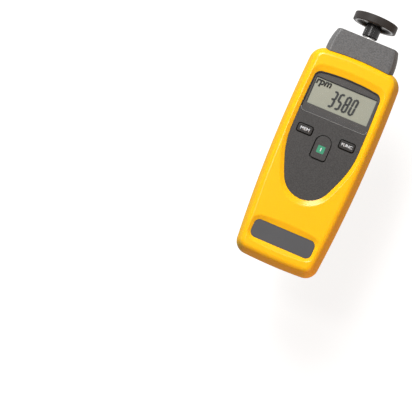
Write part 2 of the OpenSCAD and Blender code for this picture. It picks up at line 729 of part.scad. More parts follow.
module emitter_led() { color("red") light_part(-1); }
module receiver_diode() { color("navy") light_part(1); }

// Cells, their contacts and springs, and the door
cell_cap = cell_end_room * 0.17;
contact_t = bay_wall / 3;
cell_low_y = bay_high_y - contact_t - cell_cap - fit - cell_l;
function cell_x(i) = (i - (cell_n - 1) / 2) * (cell_d + cell_gap);
module battery_cells() {
    for (i = [0:cell_n - 1]) let (flip = i % 2) translate([cell_x(i), 0, cell_z]) {
        body_y = flip == 0 ? cell_low_y : bay_low_y + contact_t + cell_cap + fit;
        color("dimgray") translate([0, body_y + cell_l, 0]) rotate([90, 0, 0])
            cylinder(d = cell_d, h = cell_l, $fn = smooth);
        color("silver") translate([0, flip == 0 ? body_y + cell_l + cell_cap : body_y, 0])
            rotate([90, 0, 0]) cylinder(d = cell_d * 0.36, h = cell_cap, $fn = smooth);
    }
}
module battery_contacts() {
    color("silver") for (i = [0:cell_n - 1], end = [0, 1])
        translate([cell_x(i) - cell_d * 0.4, end == 0 ? bay_low_y : bay_high_y - contact_t, cell_z - cell_d * 0.4])
            cube([cell_d * 0.8, contact_t, cell_d * 0.8]);
}
// Conical spring: one wire swept along a tightening helix
spring_turns = 4;
spring_steps = 14;
function spring_point(t, free_l, r0, r1) =
    let (a = 360 * spring_turns * t, r = r0 + (r1 - r0) * t, closed = min(t, 1 - t) * spring_turns,
        rise = t < 0.5 ? pow(2 * t, 1.25) / 2 : 1 - pow(2 - 2 * t, 1.25) / 2)
    [r * cos(a), free_l * rise, r * sin(a)];
module spring(free_l, r0, r1) {
    count = spring_turns * spring_steps;
    sides = 6;
    points = [for (k = [0:count])
        let (t = k / count, p = spring_point(t, free_l, r0, r1), a = 360 * spring_turns * t)
        for (j = [0:sides - 1]) let (b = 360 * j / sides, w = spring_wire_d / 2)
            p + [w * cos(b) * cos(a), w * sin(b), w * cos(b) * sin(a)]];
    polyhedron(points, concat(
        [[for (j = [0:sides - 1]) j]],
        [for (k = [0:count - 1], j = [0:sides - 1]) let (a = k * sides + j, b = k * sides + (j + 1) % sides)
            each [[a, a + sides, b], [b, a + sides, b + sides]]],
        [[for (j = [sides - 1:-1:0]) count * sides + j]]), convexity = 8);
}
module battery_springs() {
    room = bay_l - 2 * contact_t - cell_l - cell_cap - 2 * fit - spring_wire_d;
    color("silver") for (i = [0:cell_n - 1]) let (flip = i % 2)
        translate([cell_x(i), flip == 0 ? bay_low_y + contact_t + spring_wire_d / 2 + fit / 2
            : bay_high_y - contact_t - spring_wire_d / 2 - fit / 2, cell_z])
            mirror([0, flip, 0]) spring(room - fit, cell_d * 0.36, cell_d * 0.22);
}
module battery_door() {
    color("gold") difference() {
        union() {
            box(-door_w / 2, door_w / 2, door_low_y, door_high_y, 0, door_t);
            box(-latch_w / 2, latch_w / 2, door_high_y - cut, door_high_y + latch_depth, 0, door_t);
            for (s = [-1, 1]) {
                box(s * tab_x - tab_w / 2, s * tab_x + tab_w / 2, door_low_y - tab_reach + 2 * door_gap,
                    door_low_y + tab_w / 2, door_t + fit, door_t + fit + tab_t);
                box(s * tab_x - tab_w / 2, s * tab_x + tab_w / 2, door_low_y, door_low_y + tab_w / 2,
                    door_t - cut, door_t + fit + tab_t);
            }
        }
        for (i = [0:2]) box(-latch_w / 2, latch_w / 2, door_high_y - latch_depth * (2.2 * i + 1.6),
            door_high_y - latch_depth * (2.2 * i + 0.6), -cut, door_t * 0.3);
    }
}
module door_pad() {
    color("black") slab(bay_w - 2 * tab_t, bay_l * 0.4, min_r, door_t, door_t + pad_t, bay_y);
}

// Contact adapter: two shells round the bearings, joined by two screws
head_mid_y = case_l / 2;
head_steps = 6;
function head_half_w(y, inset) =
    head_w / 2 - inset - (y > head_mid_y ? head_side_r - sqrt(pow(head_side_r, 2) - pow(y - head_mid_y, 2)) : 0);
function head_outline(inset, end_inset, low_y) =
    let (top = head_top_y - end_inset)
    concat([for (i = [0:head_steps]) let (y = low_y + (top - low_y) * i / head_steps) [head_half_w(y, inset), y]],
        [for (i = [head_steps:-1:0]) let (y = low_y + (top - low_y) * i / head_steps) [-head_half_w(y, inset), y]]);
head_slope_share = [0, 0.3, 0.62, 0.86];
// Insets and heights above the spindle axis of the front shell's wall
function head_profile(grow) =
    let (half = head_d / 2 + grow, wall_in = head_inset - head_edge_r * cos(30),
        wall_h = half - head_edge_r * (1 - sin(30)))
    concat(
        [for (i = [0:3]) [wall_in * pow(i / 3, 1.5) - grow, wall_h * i / 3]],
        [for (a = [60, 90]) [head_inset - head_edge_r * cos(a) - grow, half - head_edge_r * (1 - sin(a))]]);
head_low_y = case_l / 2 - face_inset;
module head_block(grow, low_y) {
    profile = head_profile(grow);
    last = len(profile) - 1;
    rings = [for (p = profile) lift(head_outline(p.x, -grow + (p.y > head_d / 2 - head_edge_r / 2 ? head_edge_r / 2 : 0),
        low_y), axis_z + p.y)];
    under = [for (i = [last:-1:1]) [for (q = rings[i]) [q.x, q.y, 2 * axis_z - q.z]]];
    loft(concat(under, rings));
}
spigot_bore = disc_d + 8 * fit;
bearing_low_y = head_mid_y + 2 * fit;
bearing_high_y = head_top_y - head_wall - 2 * fit - bearing_w;
sleeve_low_y = bearing_low_y - head_wall / 2;
sleeve_high_y = head_top_y - head_wall - fit;
adapter_screw_x = head_w * 0.34;
adapter_screw_y = head_mid_y + (head_top_y - head_mid_y) * 0.5;
adapter_screw_d = screw_d * 0.85;
module adapter_shape() {
    difference() {
        union() {
            difference() {
                difference() {
                    head_block(0, head_low_y);
                    case_envelope(head_gap);
                }
                difference() {
                    head_block(-head_wall, head_mid_y + head_wall);
                    for (s = [-1, 1]) post(s * adapter_screw_x, adapter_screw_y, 0, case_d, adapter_screw_d + 2 * post_wall);
                    along_y(sleeve_d + 2 * head_wall, head_d, min_r, 0, head_top_y);
                }
            }
            along_y(spigot_w, spigot_d, spigot_r, spigot_end_y, head_mid_y + head_wall);
        }
        spindle_bar(sleeve_d, sleeve_low_y - fit, sleeve_high_y + fit / 2);
        spindle_bar(nose_d + 2 * fit, sleeve_high_y - cut, head_top_y + cut);
        spindle_bar(spigot_bore, spigot_end_y - cut, spigot_end_y + disc_d * 0.4);
        spindle_bar(shaft_d + 8 * fit, spigot_end_y, sleeve_low_y);
    }
}
module adapter_front_shell() {
    color("gray") difference() {
        intersection() {
            adapter_shape();
            box(-head_w, head_w, 0, 2 * case_l, axis_z, case_d);
        }
        for (s = [-1, 1]) post(s * adapter_screw_x, adapter_screw_y, axis_z - cut,
            axis_z + head_d / 2 - head_wall, adapter_screw_d - 2 * thread_bite);
    }
}
module adapter_rear_shell() {
    color("gray") difference() {
        intersection() {
            adapter_shape();
            box(-head_w, head_w, 0, 2 * case_l, 0, axis_z);
        }
        for (s = [-1, 1]) {
            post(s * adapter_screw_x, adapter_screw_y, 0, axis_z + cut, adapter_screw_d + 2 * fit);
            post(s * adapter_screw_x, adapter_screw_y, 0, axis_z - head_d / 2 + screw_head_h + head_edge_r,
                adapter_screw_d * 1.8 + 2 * fit);
        }
    }
}
module adapter_screws() {
    head_z = axis_z - head_d / 2 + head_edge_r;
    color("silver") for (s = [-1, 1]) {
        post(s * adapter_screw_x, adapter_screw_y, head_z, head_z + screw_head_h, adapter_screw_d * 1.8);
        post(s * adapter_screw_x, adapter_screw_y, head_z, axis_z + head_d / 2 - head_wall * 1.5, adapter_screw_d);
    }
}

// Bearings in their sleeve
module bearing_sleeve() {
    color("gainsboro") difference() {
        union() {
            spindle_bar(sleeve_d - 2 * fit / 3, sleeve_low_y, sleeve_high_y);
            spindle_bar(nose_d, sleeve_low_y, head_top_y + nose_proud);
        }
        spindle_bar(bearing_d + fit / 3, bearing_low_y, bearing_high_y + bearing_w);
        spindle_bar(shaft_d + 4 * fit, sleeve_low_y - cut, head_top_y + nose_proud + cut);
    }
}
race_r = (bearing_d + shaft_d) / 4;
race_play = 0.05;
bearing_places = [bearing_low_y, bearing_high_y];
module at_bearings() {
    for (y = bearing_places) translate([0, y + bearing_w / 2, axis_z]) rotate([90, 0, 0]) children();
}
module race_ring(r0, r1) {
    rotate_extrude($fn = smooth) difference() {
        translate([r0, -bearing_w / 2]) square([r1 - r0, bearing_w]);
        translate([race_r, 0]) circle(ball_d / 2 + race_play, $fn = 24);
    }
}
module bearing_outer_rings() {
    color("silver") at_bearings() race_ring(race_r + ball_d * 0.32, bearing_d / 2);
}
module bearing_inner_rings() {
    color("silver") at_bearings() race_ring(shaft_d / 2 + fit / 10, race_r - ball_d * 0.32);
}
module ball_ring(d) {
    for (i = [0:ball_n - 1]) rotate([0, 0, 360 * i / ball_n]) translate([race_r, 0, 0]) sphere(d = d, $fn = 24);
}
// Crown cage: a ring beside the balls with fingers between them
module bearing_cages() {
    pocket = ball_d + 2 * race_play;
    color("goldenrod") at_bearings() difference() {
        translate([0, 0, -ball_d * 0.9]) cylinder(r = race_r + ball_d * 0.16, h = ball_d * 1.5, $fn = smooth);
        translate([0, 0, -ball_d]) cylinder(r = race_r - ball_d * 0.16, h = ball_d * 2, $fn = smooth);
        for (i = [0:ball_n - 1]) rotate([0, 0, 360 * i / ball_n])
            translate([shaft_d / 2, -pocket / 2, -pocket / 2]) cube([bearing_d / 2, pocket, bearing_w]);
    }
}
module bearing_balls() {
    color("white") at_bearings() ball_ring(ball_d);
}

// Spindle
disc_y = spigot_end_y + disc_d * 0.1;
shaft_end_y = wheel_y + web_t;
drive_pin_y = hub_y + drive_pin_d * 0.9;
drive_slot_l = drive_pin_d * 1.8;
module drive_shaft() {
    color("silver") difference() {
        union() {
            spindle_bar(shaft_d, disc_y - disc_t, shaft_end_y - shaft_d / 8);
            translate([0, shaft_end_y, axis_z]) rotate([90, 0, 0])
                cylinder(r1 = shaft_d * 3 / 8, r2 = shaft_d / 2, h = shaft_d / 8, $fn = smooth);
        }
        translate([0, drive_pin_y, axis_z]) rotate([0, 90, 0])
            cylinder(d = drive_pin_d, h = 2 * shaft_d, center = true, $fn = 24);
    }
}
module shaft_spacer() {
    color("goldenrod") spindle_tube(shaft_d + 2 * (race_r - shaft_d / 2) * 0.6, shaft_d + fit / 5,
        bearing_low_y + bearing_w, bearing_high_y);
}
module slotted_disc() {
    color("black") difference() {
        union() {
            spindle_bar(disc_d, disc_y, disc_y + disc_t);
            spindle_bar(shaft_d * 1.7, disc_y, disc_y + 3 * disc_t);
        }
        spindle_bar(shaft_d + fit / 5, disc_y - cut, disc_y + cut + 3 * disc_t);
        translate([0, disc_y + cut + disc_t, axis_z]) rotate([90, 0, 0]) for (i = [0:disc_slot_n - 1])
            rotate([0, 0, 360 * i / disc_slot_n]) translate([shaft_d, -disc_d * 0.06, 0])
                cube([disc_d, disc_d * 0.12, disc_t + 2 * cut]);
    }
}
module drive_pin() {
    color("silver") translate([0, drive_pin_y, axis_z]) rotate([0, 90, 0])
        cylinder(d = drive_pin_d - fit / 5, h = hub_d - 8 * fit, center = true, $fn = 24);
}

// Contact wheel
rim_d = wheel_d - 2 * tyre_t;
module wheel_body() {
    color("dimgray") difference() {
        union() {
            spindle_bar(hub_d, hub_y, wheel_y + wheel_w - web_t / 2);
            spindle_bar(rim_d, wheel_y, wheel_y + wheel_w);
        }
        difference() {
            spindle_tube(rim_d - 2 * lip_w, hub_d, wheel_y - cut, wheel_y + wheel_w + cut);
            translate([0, wheel_y + wheel_w * 0.62, axis_z]) rotate([90, 0, 0])
                cylinder(d1 = rim_d, d2 = rim_d, h = web_t, $fn = smooth);
        }
        spindle_bar(hub_d, wheel_y + wheel_w - web_t / 2, wheel_y + wheel_w + cut);
        spindle_bar(shaft_d + 2 * run_fit, hub_y - cut, shaft_end_y + fit);
        for (a = [0, 90]) translate([0, hub_y - cut, axis_z]) rotate([0, a, 0])
            translate([-hub_d, 0, -drive_pin_d / 2 - fit])
                cube([2 * hub_d, drive_slot_l + cut + fit, drive_pin_d + 2 * fit]);
    }
}
module wheel_tyre() {
    color("black") translate([0, wheel_y + wheel_w, axis_z]) rotate([90, 0, 0]) rotate_extrude($fn = 2 * smooth)
        translate([rim_d / 2, 0]) square([tyre_t, wheel_w]);
}

rear_case();
front_case();
case_screws();
fascia_panel();
display_lens();
badge_plate();
lcd_panel();
lcd_connectors();
main_board();
board_chips();
board_screws();
switch_bodies();
optics_housing();
optics_lenses();
optics_board();
emitter_led();
receiver_diode();
battery_cells();
battery_springs();
battery_contacts();
memory_key();
memory_plunger();
function_key();
function_plunger();
power_key();
power_plunger();
battery_door();
door_pad();
adapter_front_shell();
adapter_rear_shell();
adapter_screws();
bearing_sleeve();
bearing_outer_rings();
bearing_cages();
bearing_balls();
drive_shaft();
bearing_inner_rings();
shaft_spacer();
slotted_disc();
drive_pin();
wheel_body();
wheel_tyre();
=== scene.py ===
"""Looks of a handheld contact tachometer, dressed round its packed construction model.

The case, the contact adapter and the contact wheel are each a class that holds its sizes and builds
and dresses its pieces. Finishes are frozen dataclasses that write procedural materials. Lengths are
metres in the part's frame: X to the right, Y towards the contact wheel, Z out of the face.
"""

from __future__ import annotations

import logging
import math
from dataclasses import dataclass
from enum import Enum
from typing import Callable, Iterable, Optional, Sequence, Union

import bmesh
import bpy
from mathutils import Matrix, Vector

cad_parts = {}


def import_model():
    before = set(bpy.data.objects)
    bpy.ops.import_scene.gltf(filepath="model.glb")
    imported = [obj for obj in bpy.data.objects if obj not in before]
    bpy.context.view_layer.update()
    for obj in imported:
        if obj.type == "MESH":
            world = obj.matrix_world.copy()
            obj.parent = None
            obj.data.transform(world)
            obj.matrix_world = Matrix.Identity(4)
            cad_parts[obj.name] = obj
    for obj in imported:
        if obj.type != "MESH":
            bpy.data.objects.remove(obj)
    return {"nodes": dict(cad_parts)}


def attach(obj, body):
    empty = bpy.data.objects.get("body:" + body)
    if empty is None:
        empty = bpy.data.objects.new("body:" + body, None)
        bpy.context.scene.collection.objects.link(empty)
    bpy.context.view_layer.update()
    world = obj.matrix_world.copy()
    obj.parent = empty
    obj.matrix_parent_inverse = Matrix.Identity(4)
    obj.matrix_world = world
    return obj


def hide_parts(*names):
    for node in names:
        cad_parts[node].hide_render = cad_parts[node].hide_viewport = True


LOG = logging.getLogger("tachometer")
MM = 0.001
Point = tuple[float, float]
Triple = tuple[float, float, float]
Shade = tuple[int, int, int]
Sides = tuple[float, float, float, float]
Ring = list[Vector]
Chooser = Callable[[Vector, Vector], bool]
Piece = bpy.types.Object
Socket = bpy.types.NodeSocket
Material = bpy.types.Material


def mm(*sizes: float) -> tuple[float, ...]:
    """Sizes given in millimetres, in metres."""
    return tuple(size * MM for size in sizes)


def linear(red: int, green: int, blue: int) -> Triple:
    """Turn a colour as it is seen on a screen into linear light.

    Args:
        red: Red, 0 to 255.
        green: Green, likewise.
        blue: Blue, likewise.

    Returns:
        The colour in linear light.
    """

    def channel(value: int) -> float:
        """Decode one channel."""
        share = value / 255
        return share / 12.92 if share <= 0.04045 else ((share + 0.055) / 1.055) ** 2.4

    return channel(red), channel(green), channel(blue)


class Value:
    """A shader socket that takes part in Python sums and products."""

    def __init__(self, recipe: Recipe, socket: Socket) -> None:
        """Wrap a socket of a recipe's tree."""
        self.recipe = recipe
        self.socket = socket

    def _math(self, operation: str, *values: Number) -> Value:
        """Add a Math node and return its result."""
        node = self.recipe.node("ShaderNodeMath", {"operation": operation}, dict(enumerate(values)))
        return Value(self.recipe, node.outputs[0])

    def __add__(self, other: Number) -> Value:
        """Sum."""
        return self._math("ADD", self, other)

    def __radd__(self, other: Number) -> Value:
        """Reflected sum."""
        return self._math("ADD", other, self)

    def __sub__(self, other: Number) -> Value:
        """Difference."""
        return self._math("SUBTRACT", self, other)

    def __rsub__(self, other: Number) -> Value:
        """Reflected difference."""
        return self._math("SUBTRACT", other, self)

    def __mul__(self, other: Number) -> Value:
        """Product."""
        return self._math("MULTIPLY", self, other)

    def __rmul__(self, other: Number) -> Value:
        """Reflected product."""
        return self._math("MULTIPLY", other, self)

    def __truediv__(self, other: Number) -> Value:
        """Quotient."""
        return self._math("DIVIDE", self, other)

    def above(self, edge: float, width: float) -> Value:
        """Ramp from 0 at edge to 1 at edge + width."""
        ramp = (self - edge) / width
        return ramp._math("MINIMUM", ramp._math("MAXIMUM", ramp, 0.0), 1.0)


Number = Union[Value, float]


class Recipe:
    """Builds one procedural material on the Principled shader."""

    def __init__(self, name: str) -> None:
        """Start a material with a Principled shader and object coordinates.

        Args:
            name: The material's name.
        """
        self.material = bpy.data.materials.new(name)
        self.material.use_nodes = True
        self.tree = self.material.node_tree
        self.shader = self.tree.nodes["Principled BSDF"]
        self.place = self.node("ShaderNodeTexCoord").outputs["Object"]

    def node(self, kind: str, settings: Optional[dict] = None,
             inputs: Optional[dict] = None) -> bpy.types.Node:
        """Add a node.

        Args:
            kind: The node's type.
            settings: Properties to set before its inputs.
            inputs: Values or links, by input name or number.

        Returns:
            The node.
        """
        made = self.tree.nodes.new(kind)
        for key, value in (settings or {}).items():
            setattr(made, key, value)
        for key, value in (inputs or {}).items():
            self.connect(made.inputs[key], value)
        return made

    def connect(self, target: Socket, value: object) -> None:
        """Link a value or a socket to an input, or set the input's own number.

        Args:
            target: The input.
            value: A number, a colour, a socket or a Value.
        """
        source = value.socket if isinstance(value, Value) else value
        if isinstance(source, Socket):
            self.tree.links.new(source, target)
        elif isinstance(source, tuple) and len(source) == 3 and target.type == "RGBA":
            target.default_value = (*source, 1.0)
        else:
            target.default_value = source

    def feed(self, **inputs: object) -> None:
        """Set the Principled shader's inputs; an underscore in a name stands for a space."""
        for key, value in inputs.items():
            self.connect(self.shader.inputs[key.replace("_", " ")], value)

    def noise(self, size: float, detail: float = 2.0, stretch: Triple = (1, 1, 1)) -> Value:
        """Noise on object coordinates.

        Args:
            size: Rough width of its blotches.
            detail: How many finer layers it has.
            stretch: How far it is drawn out along each axis.

        Returns:
            The noise, 0 to 1.
        """
        scale = tuple(1 / s for s in stretch)
        mapped = self.node("ShaderNodeMapping", inputs={"Vector": self.place, "Scale": scale})
        inputs = {"Vector": mapped.outputs[0], "Scale": 1 / size, "Detail": detail}
        return Value(self, self.node("ShaderNodeTexNoise", inputs=inputs).outputs["Fac"])

    def cells(self, size: float) -> Value:
        """Distance to the nearest of a set of scattered points.

        Args:
            size: Distance between points.

        Returns:
            The distance, for pebbled grain.
        """
        inputs = {"Vector": self.place, "Scale": 1 / size}
        made = self.node("ShaderNodeTexVoronoi", {"feature": "SMOOTH_F1"}, inputs)
        return Value(self, made.outputs["Distance"])

    def mix(self, factor: Number, low: object, high: object) -> Socket:
        """Blend two colours."""
        made = self.node("ShaderNodeMix", {"data_type": "RGBA"}, {0: factor, 6: low, 7: high})
        return made.outputs[2]

    def bump(self, height: Number, depth: float) -> Socket:
        """Relief of a given depth in metres."""
        inputs = {"Height": height, "Strength": 1.0, "Distance": depth}
        return self.node("ShaderNodeBump", inputs=inputs).outputs[0]


MADE: dict[str, Material] = {}
NODES: dict[str, Piece] = {}
STROKE_GROWTH = 0.035
MERGE_WITHIN = 0.002 * MM
FLAT_WITHIN = math.radians(0.4)
CUT, ADD, KEEP = "DIFFERENCE", "UNION", "INTERSECT"


@dataclass(frozen=True)
class Finish:
    """A named finish; subclasses write its material."""

    name: str
    slot: str

    def material(self) -> Material:
        """The finish's material.

        Returns:
            The material, the same one each time.
        """
        if self.name not in MADE:
            recipe = Recipe(self.name)
            self.write(recipe)
            MADE[self.name] = recipe.material
        return MADE[self.name]

    def write(self, recipe: Recipe) -> None:
        """Write the finish into a recipe."""
        raise NotImplementedError


@dataclass(frozen=True)
class Moulding(Finish):
    """Moulded plastic or rubber with fine grain, slight mottling and handling gloss.

    Grain, relief and speck_size are in millimetres.
    """

    seen: Shade
    tint: Shade
    roughness: float = 0.45
    spread: float = 0.08
    grain: float = 0.35
    relief: float = 0.012
    mottle: float = 0.35
    specular: float = 0.45
    coat: float = 0.0
    coat_ior: float = 1.5
    coat_roughness: float = 0.24
    pebble: float = 0.7
    ripple: float = 0.6
    ripple_size: float = 1.7
    scatter: float = 0.0
    scatter_reach: Triple = (1.0, 0.35, 0.05)
    scatter_depth: float = 1.2 * MM
    speck: float = 0.4
    speck_size: float = 0.5
    cloud_size: float = 11 * MM
    patch_size: float = 26 * MM
    tint_from: float = 0.38
    tint_over: float = 0.28

    def write(self, recipe: Recipe) -> None:
        """Write colour, roughness and grain.

        Args:
            recipe: The material to write into.
        """
        clouds = recipe.noise(self.cloud_size, 4)
        specks = recipe.noise(self.speck_size * MM, 3)
        patches = recipe.noise(self.patch_size, 3)
        blend = clouds * (1 - self.speck) + specks * self.speck
        shade = blend.above(self.tint_from, self.tint_over) * self.mottle
        size = self.grain * MM
        ripples = recipe.noise(size * self.ripple_size, 2)
        grain = recipe.cells(size) * self.pebble + ripples * self.ripple
        gloss = (patches - 0.5) * (2 * self.spread) + (specks - 0.5) * self.spread
        recipe.feed(
            Base_Color=recipe.mix(shade, linear(*self.seen), linear(*self.tint)),
            Roughness=self.roughness + gloss,
            Normal=recipe.bump(grain, self.relief * MM),
            Specular_IOR_Level=self.specular,
            Coat_Weight=self.coat,
            Coat_Roughness=self.coat_roughness,
            Coat_IOR=self.coat_ior,
        )
        if self.scatter:
            recipe.feed(Subsurface_Weight=self.scatter, Subsurface_Radius=self.scatter_reach,
                        Subsurface_Scale=self.scatter_depth)


@dataclass(frozen=True)
class Metal(Finish):
    """Turned, drawn or plated metal with fine lines round or along the spindle axis."""

    colour: Triple = (0.7, 0.7, 0.72)
    roughness: float = 0.25
    lines: float = 0.08 * MM
    stretch: Triple = (60, 1, 60)
    smear: float = 3 * MM
    smear_from: float = 0.4
    smear_over: float = 0.3
    dulling: float = 0.3
    dulled: float = 0.8
    line_gloss: float = 0.12
    smear_gloss: float = 0.1
    relief: float = 0.004 * MM

    def write(self, recipe: Recipe) -> None:
        """Write colour, roughness and tool lines.

        Args:
            recipe: The material to write into.
        """
        lines = recipe.noise(self.lines, 2, self.stretch)
        smears = recipe.noise(self.smear, 3)
        dull = smears.above(self.smear_from, self.smear_over) * self.dulling
        gloss = (lines - 0.5) * self.line_gloss + (smears - 0.5) * self.smear_gloss
        recipe.feed(
            Base_Color=recipe.mix(dull, self.colour, tuple(c * self.dulled for c in self.colour)),
            Metallic=1.0,
            Roughness=self.roughness + gloss,
            Normal=recipe.bump(lines, self.relief),
        )


@dataclass(frozen=True)
class Clear(Finish):
    """Thin clear plastic: mostly transparent, with a gloss of its own and faint wipe marks."""

    tint: Triple = (0.03, 0.03, 0.03)
    roughness: float = 0.03
    see_through: float = 0.985
    ior: float = 1.49
    wipe: float = 4 * MM
    wipe_gloss: float = 0.05
    wipe_veil: float = 0.01

    def write(self, recipe: Recipe) -> None:
        """Write the clear sheet.

        Args:
            recipe: The material to write into.
        """
        wipes = recipe.noise(self.wipe, 3, (3, 1, 1))
        recipe.feed(Base_Color=self.tint, IOR=self.ior,
                    Roughness=self.roughness + wipes * self.wipe_gloss,
                    Alpha=1 - self.see_through + wipes * self.wipe_veil)


YELLOW = Moulding("yellow_case_plastic", "yellow_case", (255, 190, 8), (253, 183, 5), 0.42,
                  grain=0.4, relief=0.008, specular=0.0, coat=0.12, coat_ior=2.5, scatter=0.16)
PANEL = Moulding("fascia_plastic", "dark_panel", (68, 66, 65), (52, 50, 49), 0.5, grain=0.6,
                 relief=0.03, mottle=1.0, specular=0.2, speck=0.9, speck_size=0.7)
PANEL_RIM = Moulding("window_border", "dark_panel", (84, 82, 81), (72, 70, 69), 0.5, grain=0.3,
                     relief=0.002, mottle=0.5, specular=0.1)
# Light grey for the lens's lower sloped edge: a painted highlight standing for the shine along that
# edge.
LENS_PAINTED_HIGHLIGHT = Moulding("lens_edge_painted_highlight", "clear_lens", (150, 149, 148), (132, 131, 130), 0.3,
                     grain=0.3, relief=0.001, specular=0.3)
SHADE = Moulding("window_shadow_step", "dark_panel", (26, 25, 24), (20, 19, 18), 0.7, grain=0.3,
                 relief=0.001, specular=0.1)
GREY = Moulding("adapter_plastic", "grey_shell", (106, 105, 105), (85, 84, 84), 0.42, grain=0.7,
                relief=0.045, mottle=1.0, specular=0.03, coat=0.1, coat_ior=2.4, speck=0.9,
                speck_size=0.7)
BADGE = Moulding("badge_plastic", "badge", (76, 76, 78), (68, 68, 70), 0.38, grain=0.3,
                 relief=0.004, mottle=0.4, specular=0.3)
KEY = Moulding("key_top_rubber", "key_rubber", (54, 52, 51), (40, 38, 37), 0.5, grain=0.28,
               relief=0.008, mottle=0.5, specular=0.15)
# Darker copy of the key rubber for the keys' sides: painted shade, with a rougher surface.
KEY_SIDE_PAINTED_SHADE = Moulding("key_side_painted_shade", "key_rubber", (24, 22, 21), (20, 19, 18), 0.7, grain=0.28,
                    relief=0.008, mottle=0.5, specular=0.1)
WHEEL = Moulding("wheel_plastic", "wheel_black", (44, 41, 39), (36, 34, 33), 0.32, grain=0.3,
                 relief=0.006, mottle=0.5, specular=0.2)
# Lighter copy of the wheel plastic for the rim's lip faces: a painted highlight.
WHEEL_LIP_PAINTED_HIGHLIGHT = Moulding("wheel_lip_painted_highlight", "wheel_black", (112, 104, 97), (84, 78, 72), 0.35,
                     grain=0.3, relief=0.004, mottle=0.8, specular=0.5)
HUB = Moulding("hub_plastic", "wheel_black", (26, 23, 22), (20, 18, 17), 0.16, spread=0.02,
               grain=2, relief=0.0005, mottle=0.4, specular=0.1, coat=0.3, coat_ior=2.0)
TYRE = Moulding("tyre_tread_rubber", "tyre_rubber", (60, 56, 54), (46, 43, 41), 0.42, grain=0.5,
                relief=0.012, mottle=0.7, specular=0.1)
BLACK = Moulding("black_plastic", "black_plastic", (38, 38, 40), (30, 30, 32), 0.5)
CHIP = Moulding("chip_package", "chip_black", (34, 34, 36), (26, 26, 28), 0.55)
BOARD = Moulding("solder_mask", "circuit_board", (24, 92, 58), (16, 78, 48), 0.3, relief=0.004)
PLUNGER = Moulding("plunger_plastic", "plunger", (222, 216, 200), (212, 205, 190), 0.4)
FOAM = Moulding("foam_pad", "foam", (44, 44, 46), (34, 34, 36), 0.9, grain=0.6, relief=0.12)
ELASTOMER = Moulding("connector_rubber", "elastomer", (90, 88, 92), (60, 60, 64), 0.6)
CELL = Moulding("cell_sleeve_film", "cell_sleeve", (52, 56, 64), (44, 47, 54), 0.25, relief=0.002)
LED = Moulding("red_epoxy", "led_red", (190, 26, 20), (160, 18, 14), 0.15, relief=0.0005)
STEEL = Metal("turned_steel", "steel")
NICKEL = Metal("nickel_plate", "nickel", (0.86, 0.84, 0.8), 0.12)
BRASS = Metal("turned_brass", "brass", (0.72, 0.52, 0.24), 0.3)
INK = Moulding("display_ink", "display", (18, 19, 16), (16, 17, 14), 0.5, relief=0.001)
GLASS = Moulding("display_ground", "display", (152, 152, 136), (147, 147, 132), 0.4, relief=0.001)
WHITE = Moulding("mark_print", "", (205, 206, 208), (190, 191, 193), 0.5, relief=0.002)
GREEN = Moulding("green_print", "", (40, 134, 98), (36, 127, 92), 0.4, relief=0.002)
LENS = Clear("lens_acrylic", "clear_lens")
OPTIC = Clear("optic_acrylic", "clear_lens", see_through=0.7)


@dataclass(frozen=True)
class Viewpoint:
    """Where the photograph was taken from, in the part's frame."""

    target: Triple = (0.0, -12.7 * MM, 15.5 * MM)
    target_px: Point = (308.4, 180.7)
    frame_px: Point = (413, 400)
    focal_px: float = 1699.1
    across: float = math.radians(2.60)
    below: float = math.radians(4.42)
    roll: float = math.radians(23.11)
    distance: float = 1.088
    sensor_mm: float = 36.0
    nearest: float = 0.01

    def place(self) -> None:
        """Make the camera, turned so that the target falls on its pixel of the frame."""
        level = math.cos(self.below)
        away = Vector((math.sin(self.across) * level, -math.sin(self.below),
                       math.cos(self.across) * level))
        upward = (Vector((0, 1, 0)) - away * away.y).normalized()
        right = upward.cross(away)
        turn = Matrix.Rotation(self.roll, 3, away)
        axes = Matrix((turn @ right, turn @ upward, away)).transposed()
        wide, high = self.frame_px
        at_x, at_y = self.target_px
        aim = Vector((at_x - wide / 2, high / 2 - at_y, -self.focal_px)).normalized()
        lean = Vector((0, 0, -1)).rotation_difference(aim).to_matrix()
        data = bpy.data.cameras.new("camera")
        data.lens = self.focal_px / wide * self.sensor_mm
        data.sensor_width = self.sensor_mm
        data.clip_start = self.nearest
        camera = bpy.data.objects.new("camera", data)
        bpy.context.scene.collection.objects.link(camera)
        turned = axes @ lean.inverted()
        stand = Vector(self.target) + away * self.distance
        camera.matrix_world = Matrix.Translation(stand) @ turned.to_4x4()
        bpy.context.scene.camera = camera


@dataclass(frozen=True)
class Lamp:
    """A soft rectangular lamp that faces the part."""

    name: str
    place: Triple
    size: float
    power: float
    colour: Triple = (1, 1, 1)
    target: Triple = (0, 0, 0.01)

    def light(self) -> None:
        """Add the lamp."""
        data = bpy.data.lights.new(self.name, "AREA")
        data.size = self.size
        data.energy = self.power
        data.color = self.colour
        lamp = bpy.data.objects.new(self.name, data)
        lamp.location = self.place
        facing = Vector(self.target) - Vector(self.place)
        lamp.rotation_euler = facing.to_track_quat("-Z", "Y").to_euler()
        bpy.context.scene.collection.objects.link(lamp)


